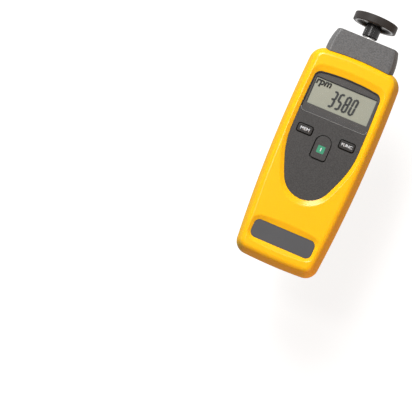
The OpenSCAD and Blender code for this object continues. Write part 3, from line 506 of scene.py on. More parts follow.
@dataclass
class Studio:
    """Pale floor, white surround, soft lamps and the camera."""

    floor_size: float = 6.0
    floor_drop: float = 60 * MM
    floor_colour: Triple = (0.25, 0.25, 0.25)
    floor_glow: float = 0.86
    floor_roughness: float = 0.9
    floor_gloss: float = 0.1
    world_level: float = 0.1
    lamps: Sequence[Lamp] = (
        Lamp("key", (-0.53, 0.77, 1.04), 0.6, 23.8),
        Lamp("strip", (-0.45, 0.16, 1.12), 0.2, 3.0),
        Lamp("bounce", (0.5, -0.42, 0.1), 0.4, 2.2, (1.0, 0.52, 0.22)),
    )

    def set_up(self) -> None:
        """Build the studio."""
        Viewpoint().place()
        bpy.context.scene.view_settings.view_transform = "Standard"
        for lamp in self.lamps:
            lamp.light()
        self._surround()
        self._floor()

    def _seen(self, tree: bpy.types.NodeTree) -> Socket:
        """Mask for the rays that show the background.

        Args:
            tree: The node tree that uses it.

        Returns:
            An output that is 1 for camera, transmission and glossy rays.
        """
        path = tree.nodes.new("ShaderNodeLightPath")
        mask = path.outputs["Is Camera Ray"]
        for kind in ("Is Transmission Ray", "Is Glossy Ray"):
            either = tree.nodes.new("ShaderNodeMath")
            either.operation = "MAXIMUM"
            tree.links.new(mask, either.inputs[0])
            tree.links.new(path.outputs[kind], either.inputs[1])
            mask = either.outputs[0]
        return mask

    def _surround(self) -> None:
        """White to look at, dimmer as a light."""
        world = bpy.data.worlds.new("surround")
        bpy.context.scene.world = world
        world.use_nodes = True
        tree = world.node_tree
        lit, seen = tree.nodes["Background"], tree.nodes.new("ShaderNodeBackground")
        lit.inputs["Strength"].default_value = self.world_level
        blend = tree.nodes.new("ShaderNodeMixShader")
        tree.links.new(self._seen(tree), blend.inputs[0])
        for place, sky in enumerate((lit, seen), 1):
            sky.inputs["Color"].default_value = (1.0, 1.0, 1.0, 1.0)
            tree.links.new(sky.outputs[0], blend.inputs[place])
        tree.links.new(blend.outputs[0], tree.nodes["World Output"].inputs[0])

    def _floor(self) -> None:
        """Pale floor that keeps the part's shadow and is white elsewhere."""
        bpy.ops.mesh.primitive_plane_add(size=self.floor_size, location=(0, 0, -self.floor_drop))
        floor = bpy.context.object
        floor.name = "floor"
        recipe = Recipe("floor_paper")
        seen = Value(recipe, self._seen(recipe.tree))
        recipe.feed(Base_Color=self.floor_colour, Roughness=self.floor_roughness,
                    Specular_IOR_Level=self.floor_gloss,
                    Emission_Color=recipe.mix(seen, (0.0, 0.0, 0.0), (1.0, 1.0, 1.0)),
                    Emission_Strength=self.floor_glow)
        floor.data.materials.append(recipe.material)


class Bench:
    """Hand tools: each call works on one piece, with everything else deselected."""

    @staticmethod
    def pick(piece: Piece) -> None:
        """Select one piece alone and make it active.

        Args:
            piece: The piece.
        """
        bpy.ops.object.select_all(action="DESELECT")
        piece.select_set(True)
        bpy.context.view_layer.objects.active = piece

    @staticmethod
    def apply(piece: Piece, kind: str, **settings: object) -> None:
        """Add a modifier with its settings and apply it.

        Args:
            piece: The piece to change.
            kind: The modifier's type.
            settings: The modifier's properties.
        """
        Bench.pick(piece)
        modifier = piece.modifiers.new(kind.lower(), kind)
        for key, value in settings.items():
            setattr(modifier, key, value)
        bpy.ops.object.modifier_apply(modifier=modifier.name)

    @staticmethod
    def smooth(piece: Piece, angle: float = 30.0) -> None:
        """Shade smooth except across edges sharper than angle, in degrees."""
        Bench.pick(piece)
        bpy.ops.object.shade_smooth_by_angle(angle=math.radians(angle))

    @staticmethod
    def soften(piece: Piece, width: float, angle: float = 40.0, segments: int = 2,
               shade: float = 30.0) -> None:
        """Round the sharp edges, then level the shading of the flats.

        Args:
            piece: The piece to change.
            width: Width of the rounding, or 0 for none.
            angle: Sharpest edge that is left, in degrees.
            segments: Facets across each rounding.
            shade: Edges sharper than this stay sharp in shading, in degrees.
        """
        if width:
            Bench.apply(piece, "BEVEL", width=width, segments=segments, limit_method="ANGLE",
                        angle_limit=math.radians(angle))
        Bench.smooth(piece, shade)
        Bench.apply(piece, "WEIGHTED_NORMAL", keep_sharp=True, mode="FACE_AREA", weight=80)

    @staticmethod
    def loft(name: str, rings: Sequence[Sequence[Vector]]) -> Piece:
        """Skin a solid over outlines that all have the same number of points.

        Args:
            name: The new piece's name.
            rings: Outlines in order, each point a place in space.

        Returns:
            The closed solid, its faces outwards.
        """
        bpy.ops.object.select_all(action="DESELECT")
        bpy.ops.mesh.primitive_circle_add(vertices=len(rings[0]), radius=MM, fill_type="NGON")
        piece = bpy.context.object
        piece.name = name
        bpy.ops.object.mode_set(mode="EDIT")
        grid = bmesh.from_edit_mesh(piece.data)
        station = grid.verts.layers.int.new("station")
        for number, vert in enumerate(grid.verts):
            vert[station] = number
            vert.co = rings[0][number]
        for ring in rings[1:]:
            bpy.ops.mesh.extrude_region()
            grid = bmesh.from_edit_mesh(piece.data)
            station = grid.verts.layers.int["station"]
            for vert in grid.verts:
                if vert.select:
                    vert.co = ring[vert[station]]
        bpy.ops.mesh.select_all(action="SELECT")
        bpy.ops.mesh.normals_make_consistent(inside=False)
        bpy.ops.object.mode_set(mode="OBJECT")
        piece.data.attributes.remove(piece.data.attributes["station"])
        return piece

    @staticmethod
    def recolour(piece: Piece, finish: Finish, chosen: Chooser) -> None:
        """Give another finish to the faces that a test picks.

        Args:
            piece: The piece.
            finish: Its second finish.
            chosen: Test on a face's middle and normal.
        """
        piece.data.materials.append(finish.material())
        last = len(piece.data.materials) - 1
        for face in piece.data.polygons:
            if chosen(face.center, face.normal):
                face.material_index = last

    @staticmethod
    def prism(name: str, outline: Sequence[Vector], low: float, high: float) -> Piece:
        """Solid of one outline between two heights."""
        return Bench.loft(name, [raised(outline, low), raised(outline, high)])

    @staticmethod
    def cut(piece: Piece, tool: Piece, operation: str = CUT) -> None:
        """Cut a piece with a tool, or join the tool to it, and put the tool away."""
        Bench.apply(piece, "BOOLEAN", operation=operation, object=tool, solver="EXACT")
        bpy.data.objects.remove(tool)

    @staticmethod
    def carve(piece: Piece, outline: Ring, low: float, high: float, operation: str = CUT) -> None:
        """Cut a prism out of a piece, or join it to the piece."""
        Bench.cut(piece, Bench.prism("tool", outline, low, high), operation)

    @staticmethod
    def joined(name: str, pieces: Sequence[Piece]) -> Piece:
        """Join pieces into one.

        Args:
            name: Name of the whole.
            pieces: What to join.

        Returns:
            The whole.
        """
        Bench.pick(pieces[0])
        for piece in pieces:
            piece.select_set(True)
        bpy.ops.object.join()
        pieces[0].name = name
        return pieces[0]

    @staticmethod
    def lettering(name: str, word: str, box: Sides, low: float, thick: float,
                  slant: float = 0.0) -> Piece:
        """Thin raised letters fitted into a box.

        Args:
            name: The new piece's name.
            word: What it reads.
            box: Left, right, lower and upper bounds.
            low: Height of the surface that it lies on.
            thick: Its thickness.
            slant: Lean of the letters.

        Returns:
            The letters as a mesh.
        """
        bpy.ops.object.select_all(action="DESELECT")
        bpy.ops.object.text_add(location=(0, 0, 0))
        piece = bpy.context.object
        piece.name = name
        piece.data.body = word
        piece.data.shear = slant
        piece.data.offset = STROKE_GROWTH
        piece.data.resolution_u = 6
        bpy.ops.object.convert(target="MESH")
        piece = bpy.context.object
        corners = [vert.co for vert in piece.data.vertices]
        left, right = min(c.x for c in corners), max(c.x for c in corners)
        bottom, top = min(c.y for c in corners), max(c.y for c in corners)
        x0, x1, y0, y1 = box
        for vert in piece.data.vertices:
            vert.co = (x0 + (vert.co.x - left) / (right - left) * (x1 - x0),
                       y0 + (vert.co.y - bottom) / (top - bottom) * (y1 - y0), low)
        Bench.apply(piece, "SOLIDIFY", thickness=thick, offset=1.0)
        return piece

    @staticmethod
    def copy_node(node: str, name: str) -> Piece:
        """Copy a construction node's mesh.

        Args:
            node: The construction node.
            name: The copy's name.

        Returns:
            The copy, its loose triangles merged into clean faces.
        """
        source = NODES[node]
        piece = bpy.data.objects.new(name, source.data.copy())
        bpy.context.scene.collection.objects.link(piece)
        piece.data.materials.clear()
        Bench.pick(piece)
        bpy.ops.object.mode_set(mode="EDIT")
        bpy.ops.mesh.select_all(action="SELECT")
        bpy.ops.mesh.remove_doubles(threshold=MERGE_WITHIN)
        bpy.ops.mesh.dissolve_limited(angle_limit=FLAT_WITHIN)
        bpy.ops.object.mode_set(mode="OBJECT")
        return piece


def dress(piece: Piece, finish: Finish, body: str, *stands_for: str) -> Piece:
    """Give a piece its finish and its body, and hide the nodes that it stands for.

    Args:
        piece: The piece.
        finish: Its finish.
        body: The body that it rides on.
        stands_for: Construction nodes that it replaces.

    Returns:
        The piece.
    """
    piece.data.materials.clear()
    piece.data.materials.append(finish.material())
    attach(piece, body)
    if stands_for:
        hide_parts(*stands_for)
    LOG.info("%s: %d faces on %s", piece.name, len(piece.data.polygons), body)
    return piece


def dress_nodes(nodes: Sequence[str], finish: Finish) -> None:
    """Give construction nodes that keep their own meshes a better material."""
    for holder in (slot for node in nodes for slot in NODES[node].material_slots):
        holder.material = finish.material()


def polished(node: str, finish: Finish, body: str, width: float, angle: float = 40.0) -> Piece:
    """Stand a clean copy with rounded edges in for a node.

    Args:
        node: The construction node.
        finish: Its finish.
        body: Its body.
        width: Width of the rounding.
        angle: Sharpest edge that is left, in degrees.

    Returns:
        The copy.
    """
    piece = Bench.copy_node(node, node + "_moulded")
    Bench.soften(piece, width, angle)
    return dress(piece, finish, body, node)


def polar(radius: float, angle: float) -> Vector:
    """Point at a distance and an angle in degrees from the origin."""
    turn = math.radians(angle)
    return Vector((radius * math.cos(turn), radius * math.sin(turn)))


def heading(way: Vector) -> float:
    """Direction of a vector, in degrees."""
    return math.degrees(math.atan2(way.y, way.x))


def arc(centre: Vector, radius: float, start: float, end: float, count: int) -> Ring:
    """Points along an arc, without its last one."""
    return [centre + polar(radius, start + (end - start) * i / count) for i in range(count)]


def linked(turns: Sequence[float], arcs: Sequence[tuple[Vector, float, int]]) -> Ring:
    """Points along tangent arcs, given as centre, radius and count, from turn to turn."""
    return [point for (centre, radius, count), start, end in zip(arcs, turns, turns[1:])
            for point in arc(centre, radius, start, end, count)]


def across(ring: Ring, y: float, axis_z: float) -> Ring:
    """An outline turned to stand across the spindle axis, at a place along it."""
    return [Vector((p.x, y, axis_z + p.y)) for p in ring]


def meet(first: Vector, r1: float, second: Vector, r2: float, side: int) -> Vector:
    """Point at given distances from two centres.

    Args:
        first: First centre.
        r1: Distance from it.
        second: Second centre.
        r2: Distance from it.
        side: 1 or -1, to pick one of the two points.

    Returns:
        The point.
    """
    way = second - first
    apart = way.length
    along = (r1 * r1 - r2 * r2 + apart * apart) / (2 * apart)
    off = math.sqrt(max(r1 * r1 - along * along, 0.0))
    unit = way / apart
    return first + unit * along + Vector((unit.y, -unit.x)) * (off * side)


def mirrored(half: Sequence[Vector]) -> Ring:
    """A right half from bottom to top, followed by its mirror image from top to bottom."""
    return list(half) + [Vector((-p.x, p.y)) for p in reversed(half[1:-1])]


def raised(outline: Iterable[Vector], height: float) -> Ring:
    """The outline at a height above the back."""
    return [Vector((p.x, p.y, height)) for p in outline]


@dataclass(frozen=True)
class CaseForm:
    """Outline and section of the moulded case."""

    length: float = 143.99 * MM
    width: float = 62.96 * MM
    height: float = 28.8 * MM
    parting: float = 13.4 * MM
    wall: float = 2.2 * MM
    face_inset: float = 6.6 * MM
    ridge_r: float = 4.0 * MM
    ridge_from: int = 22
    cavity_inset: float = 4.7 * MM
    top_crown_r: float = 180 * MM
    bottom_crown_r: float = 330 * MM
    side_bow_r: float = 950 * MM
    widest_y: float = 20 * MM
    top_corner_r: float = 10 * MM
    bottom_corner_r: float = 8.5 * MM
    smallest_r: float = 0.6 * MM
    wall_steps: int = 12
    ridge_angles: Sequence[int] = (30, 38, 46, 54, 62, 69, 76, 83, 90)
    crown_points: int = 12
    corner_points: int = 18
    side_points: int = 24

    def outline(self, inset: float) -> Ring:
        """Outline of the case: five tangent arcs and their mirror image.

        Args:
            inset: How far it is drawn in.

        Returns:
            The outline, from the bottom end.
        """
        half = self.length / 2 - inset
        side_r = self.side_bow_r - inset
        crown_t = self.top_crown_r - inset
        crown_b = self.bottom_crown_r - inset
        corner_t = max(self.top_corner_r - inset, self.smallest_r)
        corner_b = max(self.bottom_corner_r - inset, self.smallest_r)
        side_c = Vector((self.width / 2 - self.side_bow_r, self.widest_y))
        top_c = Vector((0, half - crown_t))
        bottom_c = Vector((0, crown_b - half))
        tc = meet(top_c, crown_t - corner_t, side_c, side_r - corner_t, 1)
        bc = meet(bottom_c, crown_b - corner_b, side_c, side_r - corner_b, -1)
        turns = [-90, heading(bc - bottom_c), heading(bc - side_c),
                 heading(tc - side_c), heading(tc - top_c), 90]
        return mirrored(linked(turns, (
            (bottom_c, crown_b, self.crown_points), (bc, corner_b, self.corner_points),
            (side_c, side_r, self.side_points), (tc, corner_t, self.corner_points),
            (top_c, crown_t, self.crown_points))) + [Vector((0, half))])

    def front_section(self) -> list[Point]:
        """Section of the front wall, over the rounded ridge to the face.

        Returns:
            Insets and heights, from the parting line up.
        """
        (top_in, top_z), *ridge = [
            (self.face_inset - self.ridge_r * math.cos(math.radians(angle)),
             self.height - self.ridge_r * (1 - math.sin(math.radians(angle))))
            for angle in (self.ridge_from, *self.ridge_angles)]
        rise = top_z - self.parting
        wall = [(top_in * (i / self.wall_steps) ** 2, self.parting + rise * i / self.wall_steps)
                for i in range(self.wall_steps + 1)]
        return wall + ridge

    def rings(self, section: Iterable[Point], inset: float = 0.0) -> list[Ring]:
        """Outlines stacked along a section."""
        return [raised(self.outline(d + inset), z) for d, z in section]


@dataclass(frozen=True)
class FaceForm:
    """Outlines of the fascia, of the dished slope round it and of the badge's seat."""

    case: CaseForm = CaseForm()
    fascia_w: float = 46.1 * MM
    top_y: float = 55.5 * MM
    widest_y: float = 20.4 * MM
    crown_r: float = 130 * MM
    corner_r: float = 4.6 * MM
    side_r: float = 700 * MM
    shoulder_r: float = 58 * MM
    flank_r: float = 150 * MM
    side_turn: float = 0.5
    shoulder_turn: float = 19.5
    flank_turn: float = 24.5
    thickness: float = 1.6 * MM
    dish_depth: float = 1.7 * MM
    dish_side: float = 2.8 * MM
    dish_top: float = 5.0 * MM
    dish_bottom: float = 4.6 * MM
    ledge: float = 0.8 * MM
    lip: float = 0.2 * MM
    badge_w: float = 41.3 * MM
    badge_h: float = 12.0 * MM
    badge_y: float = -53.8 * MM
    badge_r: float = 3.7 * MM
    badge_t: float = 0.8 * MM
    badge_side: float = 2.7 * MM
    badge_top: float = 3.4 * MM
    badge_bottom: float = 2.7 * MM
    badge_crown: float = 1.2 * MM
    arc_points: Sequence[int] = (24, 6, 16, 12, 16, 12)
    badge_run: int = 12
    badge_corner: int = 14
    slope_steps: int = 14
    round_over: float = 0.7
    overrun: float = 2 * MM

    @property
    def fascia_z(self) -> float:
        """Height of the fascia's surface."""
        return self.case.height - self.dish_depth

    @property
    def ledge_z(self) -> float:
        """Height of the seat under the fascia."""
        return self.fascia_z - self.thickness

    def fascia(self, inset: float = 0.0, grow_side: float = 0.0, grow_top: float = 0.0) -> Ring:
        """Outline of the fascia: a chain of six tangent arcs and its mirror image.

        Args:
            inset: How far it is drawn in.
            grow_side: How far its sides are moved out.
            grow_top: How far its top is moved out.

        Returns:
            The outline, from the tip.
        """
        side_r = self.side_r - inset
        corner_r = max(self.corner_r + grow_side - inset, self.case.smallest_r)
        crown_r = self.crown_r - inset
        top = self.top_y + grow_top - inset
        side_c = Vector((self.fascia_w / 2 + grow_side - self.side_r, self.widest_y))
        top_c = Vector((0, top - crown_r))
        tc = meet(top_c, crown_r - corner_r, side_c, side_r - corner_r, 1)
        shoulder_r = self.shoulder_r + grow_side
        shoulder_c = side_c + polar(self.side_r - shoulder_r, -self.side_turn)
        flank_r = self.flank_r + grow_side
        flank_c = shoulder_c + polar(shoulder_r - flank_r, -self.shoulder_turn)
        tip_r = flank_r + flank_c.x / math.cos(math.radians(self.flank_turn))
        tip_c = flank_c + polar(flank_r - tip_r, -self.flank_turn)
        turns = (-90, -self.flank_turn, -self.shoulder_turn, -self.side_turn,
                 heading(tc - side_c), heading(tc - top_c), 90)
        tip, flank, shoulder, side, corner, crown = self.arc_points
        return mirrored(linked(turns, (
            (tip_c, tip_r - inset, tip), (flank_c, flank_r - inset, flank),
            (shoulder_c, shoulder_r - inset, shoulder), (side_c, side_r, side),
            (tc, corner_r, corner), (top_c, crown_r, crown))) + [Vector((0, top))])

    def slope_ring(self, share: float) -> Ring:
        """Outline of the dished slope round the fascia.

        Args:
            share: Share of the slope's width.

        Returns:
            The outline.
        """
        sag = (self.dish_bottom - self.dish_side) * share
        reach = self.widest_y + self.case.length / 5
        return [Vector((p.x, p.y - sag * max(0.0, (self.widest_y - p.y) / reach) ** 2))
                for p in self.fascia(0.0, self.dish_side * share, self.dish_top * share)]

    def badge(self, share: float) -> Ring:
        """Outline of the badge's seat and of the slope round it.

        Args:
            share: Share of the slope's width.

        Returns:
            The outline, its edges crowned.
        """
        crown = self.badge_crown * share
        r = self.badge_r + self.badge_side * share
        run = self.badge_w / 2 + self.badge_side * share - r
        top = self.badge_h / 2 + self.badge_top * share
        bottom = self.badge_h / 2 + self.badge_bottom * share
        steps, corner = self.badge_run, self.badge_corner
        lower = [Vector((run * i / steps, -bottom - crown * (1 - (i / steps) ** 2)))
                 for i in range(steps)]
        upper = [Vector((run * (1 - i / steps), top + crown * (1 - (1 - i / steps) ** 2)))
                 for i in range(steps + 1)]
        half = (lower + arc(Vector((run, r - bottom)), r, -90, 0, corner)
                + arc(Vector((run, top - r)), r, 0, 90, corner) + upper)
        return [Vector((p.x, p.y + self.badge_y)) for p in mirrored(half)]

    def slope(self, ring: Callable[[float], Ring]) -> list[Ring]:
        """Cutting solid of a dished slope that runs out level into the face.

        Args:
            ring: The slope's outline at a share of its width.

        Returns:
            Outlines from the fascia's level to above the face.
        """
        low = self.fascia_z + self.lip
        rings = [raised(ring(0.0), self.fascia_z)]
        for number in range(self.slope_steps + 1):
            share = number / self.slope_steps
            rings.append(raised(ring(share), low + (self.case.height - low) * self.rise(share)))
        return rings + [raised(ring(1.0), self.case.height + self.overrun)]

    def rise(self, share: float) -> float:
        """Height of the slope: straight, then rounded over until it is level.

        Args:
            share: Share of the slope's width.

        Returns:
            Share of its height.
        """
        bend = self.round_over
        over = max(0.0, share - bend)
        return (share - over ** 2 / (2 * (1 - bend))) / (bend + (1 - bend) / 2)


def rounded_rect(width: float, height: float, radius: float, centre: Point = (0.0, 0.0),
                 steps: int = 10) -> Ring:
    """Rounded rectangle.

    Args:
        width: Size along X.
        height: Size along Y.
        radius: Radius of the corners.
        centre: Middle.
        steps: Points in each corner.

    Returns:
        The outline, counter-clockwise from its lower right corner.
    """
    points: Ring = []
    for turn, (sx, sy) in enumerate(((1, -1), (1, 1), (-1, 1), (-1, -1))):
        inner = Vector((sx * (width / 2 - radius), sy * (height / 2 - radius)))
        corner, end = Vector(centre) + inner, 90 * turn
        points += arc(corner, radius, end - 90, end, steps) + [corner + polar(radius, end)]
    return points


def disc(radius: float, centre: Point = (0.0, 0.0), steps: int = 48) -> Ring:
    """Circle, counter-clockwise."""
    return arc(Vector(centre), radius, 0, 360, steps)


@dataclass
class CaseShells:
    """The two moulded halves of the case, with their screw posts and holes, and the battery door.
    """

    form: CaseForm = CaseForm()
    face: FaceForm = FaceForm()
    fit: float = 0.05 * MM
    cut: float = 0.1 * MM
    groove: float = 0.16 * MM
    draft: float = 0.5 * MM
    back_edge_r: float = 4.5 * MM
    crest_shade: float = 50.0
    ledge_t: float = 1.2 * MM
    post_wall: float = 1.7 * MM
    screw_d: float = 2.6 * MM
    screw_head_d: float = 5.0 * MM
    screw_floor_z: float = 4.9 * MM
    board_face_z: float = 21.9 * MM
    board_screw_d: float = 2.21 * MM
    axis_z: float = 17.4 * MM
    mouth_w: float = 26.6 * MM
    mouth_d: float = 16.2 * MM
    mouth_r: float = 3.7 * MM
    mouth_low_y: float = 59.15 * MM
    hollow_low: float = 0.6 * MM
    hollow_bend: Point = (0.16, 0.6)
    hollow_top: float = 0.5
    back_hollow: Point = (0.4, 0.6)
    back_draft_top: float = 0.02
    post_sink: float = 0.4
    bay_sink: float = 0.3
    bay: Sides = mm(-22.55, 22.55, -56.4, -5.7)
    bay_wall: float = 1.1 * MM
    bay_roof_z: float = 13.25 * MM
    door: Sides = mm(-23.1, 23.1, -53.5, -4.6)
    door_t: float = 1.8 * MM
    door_gap: float = 0.3 * MM
    door_edge: float = 0.15 * MM
    door_play: float = 0.01 * MM
    latch_w: float = 12.94 * MM
    latch_depth: float = 1.26 * MM
    case_screws: Sequence[Point] = (mm(21.5, 62), mm(19.5, -63.5))
    board_screws: Sequence[Point] = (mm(23.0, 26), mm(18.7, -46))

    @property
    def ceiling_z(self) -> float:
        """Height of the underside of the fascia's seat."""
        return self.face.ledge_z - self.ledge_t

    def _drill(self, shell: Piece, places: Sequence[Point], radius: float, low: float, high: float,
               operation: str = CUT) -> None:
        """Cut round holes, or raise round posts, at places on the right and at their mirror images.

        Args:
            shell: The half of the case to work on.
            places: Middles on the right.
            radius: Radius of each.
            low: Lower end.
            high: Upper end.
            operation: CUT for holes, ADD for posts.
        """
        for side in (-1, 1):
            for x, y in places:
                Bench.carve(shell, disc(radius, (side * x, y)), low, high, operation)

    def _block(self, shell: Piece, sides: Sides, low: float, high: float,
               operation: str = CUT) -> None:
        """Cut a square-cornered pocket, or add a block.

        Args:
            shell: The half of the case to work on.
            sides: Left, right, lower and upper sides.
            low: Bottom.
            high: Top.
            operation: CUT for a pocket, ADD for a block.
        """
        x0, x1, y0, y1 = sides
        ring = [Vector((x0, y0)), Vector((x1, y0)), Vector((x1, y1)), Vector((x0, y1))]
        Bench.carve(shell, ring, low, high, operation)

    def _open_mouth(self, shell: Piece) -> None:
        """Cut the way for the optics housing through the top end.

        Args:
            shell: The half of the case to work on.
        """
        ring = rounded_rect(self.mouth_w, self.mouth_d, self.mouth_r)
        ends = (self.mouth_low_y, self.form.length / 2 + self.cut)
        Bench.cut(shell, Bench.loft("mouth_tool", [across(ring, y, self.axis_z) for y in ends]))

    def front(self) -> None:
        """Front half: bowed wall, rounded ridge, dished slopes, fascia seat, posts and mouth."""
        form, face, ceiling = self.form, self.face, self.ceiling_z
        parting, wall = form.parting, form.wall
        lip = [(self.groove, parting), (0.0, parting + self.groove)]
        shell = Bench.loft("front_case_moulding", form.rings(lip + form.front_section()[1:]))
        bend_in, bend_up = self.hollow_bend
        hollow = [(wall, parting - self.cut), (wall, parting + self.hollow_low),
                  (wall + form.cavity_inset * bend_in, parting + (ceiling - parting) * bend_up),
                  (wall + form.cavity_inset * self.hollow_top, ceiling)]
        Bench.cut(shell, Bench.loft("hollow_tool", form.rings(hollow)))
        sets = ((self.case_screws, self.screw_d / 2, parting),
                (self.board_screws, self.board_screw_d / 2, self.board_face_z))
        for places, radius, low in sets:
            self._drill(shell, places, radius + self.post_wall, low, ceiling + wall / 2, ADD)
        for name, ring in (("dish_tool", face.slope_ring), ("badge_tool", face.badge)):
            Bench.cut(shell, Bench.loft(name, face.slope(ring)))
        seat = rounded_rect(face.badge_w + 2 * self.fit, face.badge_h + 2 * self.fit,
                            face.badge_r + self.fit, (0, face.badge_y))
        Bench.carve(shell, seat, face.fascia_z - face.badge_t, form.height)
        Bench.carve(shell, face.fascia(-self.fit), face.ledge_z, form.height)
        Bench.carve(shell, face.fascia(face.ledge), ceiling - MM, form.height)
        for (places, radius, low), top in zip(sets, (ceiling - wall / 2, ceiling)):
            self._drill(shell, places, radius - self.fit, low - MM, top)
        self._open_mouth(shell)
        Bench.soften(shell, 0, shade=self.crest_shade)
        dress(shell, YELLOW, "case", "front_case")

    def rear(self) -> None:
        """Rear half: rounded back edge, battery bay, screw wells and half of the mouth."""
        form, edge, gap = self.form, self.back_edge_r, self.door_gap
        parting, wall = form.parting, form.wall
        back = [(self.draft + edge * (1 - math.sin(turn)), edge * (1 - math.cos(turn)))
                for turn in map(math.radians, range(0, 91, 10))]
        lip = [(self.draft * self.back_draft_top, parting - self.groove), (self.groove, parting)]
        shell = Bench.loft("rear_case_moulding", form.rings(back + lip))
        hollow_in, hollow_up = self.back_hollow
        hollow = [(wall + self.draft + edge * hollow_in, wall),
                  (wall + self.draft, wall + edge * hollow_up), (wall, parting + self.cut)]
        Bench.cut(shell, Bench.loft("hollow_tool", form.rings(hollow)))
        x0, x1, y0, y1 = self.bay
        walls = (x0 - self.bay_wall, x1 + self.bay_wall, y0 - self.bay_wall, y1 + self.bay_wall)
        self._block(shell, walls, edge * self.bay_sink, self.bay_roof_z + self.bay_wall, ADD)
        head_r = self.screw_head_d / 2 + self.fit
        self._drill(shell, self.case_screws, head_r + self.post_wall, edge * self.post_sink,
                    parting, ADD)
        self._block(shell, self.bay, self.door_t, self.bay_roof_z)
        dx0, dx1, dy0, dy1 = self.door
        doorway = (dx0 - gap, dx1 + gap, dy0 - gap, dy1 + gap)
        self._block(shell, doorway, -MM, self.door_t + self.door_play)
        latch_half = self.latch_w / 2 + gap
        latch = (-latch_half, latch_half, dy1, dy1 + self.latch_depth + gap)
        self._block(shell, latch, -MM, self.door_t)
        shank_r = self.screw_d / 2 + self.fit
        for radius, top in ((head_r, self.screw_floor_z), (shank_r, parting + MM)):
            self._drill(shell, self.case_screws, radius, -MM, top)
        self._open_mouth(shell)
        Bench.soften(shell, 0)
        dress(shell, YELLOW, "case", "rear_case")

    def build(self) -> None:
        """Build and dress the case."""
        self.front()
        self.rear()
        polished("battery_door", YELLOW, "door", self.door_edge)


class Segment(Enum):
    """Bars of one digit: start and end, in half widths and half heights from its middle."""

    TOP = (-1, 1, 1, 1)
    HIGH_RIGHT = (1, 1, 1, 0)
    LOW_RIGHT = (1, 0, 1, -1)
    BOTTOM = (-1, -1, 1, -1)
    LOW_LEFT = (-1, 0, -1, -1)
    HIGH_LEFT = (-1, 1, -1, 0)
    MIDDLE = (-1, 0, 1, 0)


LIT: dict[str, Sequence[Segment]] = {
    "3": (Segment.TOP, Segment.HIGH_RIGHT, Segment.LOW_RIGHT, Segment.BOTTOM, Segment.MIDDLE),
    "5": (Segment.TOP, Segment.HIGH_LEFT, Segment.MIDDLE, Segment.LOW_RIGHT, Segment.BOTTOM),
    "8": tuple(Segment),
    "0": tuple(s for s in Segment if s is not Segment.MIDDLE),
}


@dataclass
class Display:
    """Reflective display with its lit segments, under the clear lens."""

    ground_z: float = 25.5 * MM
    ink_t: float = 0.03 * MM
    middle_y: float = 40.35 * MM
    half_w: float = 1.22 * MM
    half_h: float = 5.0 * MM
    stroke: float = 1.4 * MM
    slant: float = 0.1
    gap: float = 0.1 * MM
    point: float = 0.42
    tip: float = 0.15
    shoulder: float = 0.8
    flank: float = 0.45
    reading: Sequence[tuple[str, float]] = tuple(zip("3580", mm(-5.45, -0.9, 3.75, 8.4)))
    unit_box: Sides = mm(-19.9, -9.6, 44.5, 49.3)
    unit_slant: float = 0.14
    glass_edge: float = 0.05 * MM
    painted_shadow_box: Sides = mm(-20.7, 20.5, 32.2, 50.5)
    painted_shadow_widths: Point = mm(0.75, 0.5)

    def _bar(self, segment: Segment, middle_x: float) -> Ring:
        """Outline of one slanted bar with pointed, softened ends.

        Args:
            segment: Which bar of the digit.
            middle_x: Middle of the digit.

        Returns:
            The outline of ten points.
        """
        ax, ay, bx, by = segment.value
        start = Vector((ax * self.half_w, ay * self.half_h))
        end = Vector((bx * self.half_w, by * self.half_h))
        way = (end - start).normalized()
        side = Vector((-way.y, way.x)) * (self.stroke / 2)
        point = way * (self.stroke * self.point)
        start, end = start + way * self.gap, end - way * self.gap
        tip, shoulder, flank = point * self.tip, point * self.shoulder, side * self.flank
        ring = [start - tip, start + flank, start + shoulder + side, end - shoulder + side,
                end + flank, end + tip, end - flank, end - shoulder - side,
                start + shoulder - side, start - flank]
        return [Vector((middle_x + p.x + p.y * self.slant, self.middle_y + p.y)) for p in ring]

    def build(self) -> None:
        """Dress the display's glass and lay on it a painted shadow line along its top and left, its
        lit bars and its unit.
        """
        polished("lcd_panel", GLASS, "case", self.glass_edge)
        low, high = self.ground_z, self.ground_z + self.ink_t
        x0, x1, y0, y1 = self.painted_shadow_box
        top, left = self.painted_shadow_widths
        line = [Vector(p) for p in ((x0, y0), (x0 + left, y0), (x0 + left, y1 - top),
                                    (x1, y1 - top), (x1, y1), (x0, y1))]
        # The dark strip along only the window's top and left is painted shadow, standing for the
        # shade cast by the window's edge.
        painted_shadow = Bench.prism("display_painted_shadow", line, low, high)
        bars = [Bench.prism("bar", self._bar(segment, x), low, high)
                for figure, x in self.reading for segment in LIT[figure]]
        reading = Bench.joined("display_reading", bars)
        unit = Bench.lettering("display_unit", "rpm", self.unit_box, low, self.ink_t,
                               self.unit_slant)
        for piece in (painted_shadow, reading, unit):
            dress(piece, INK, "case")


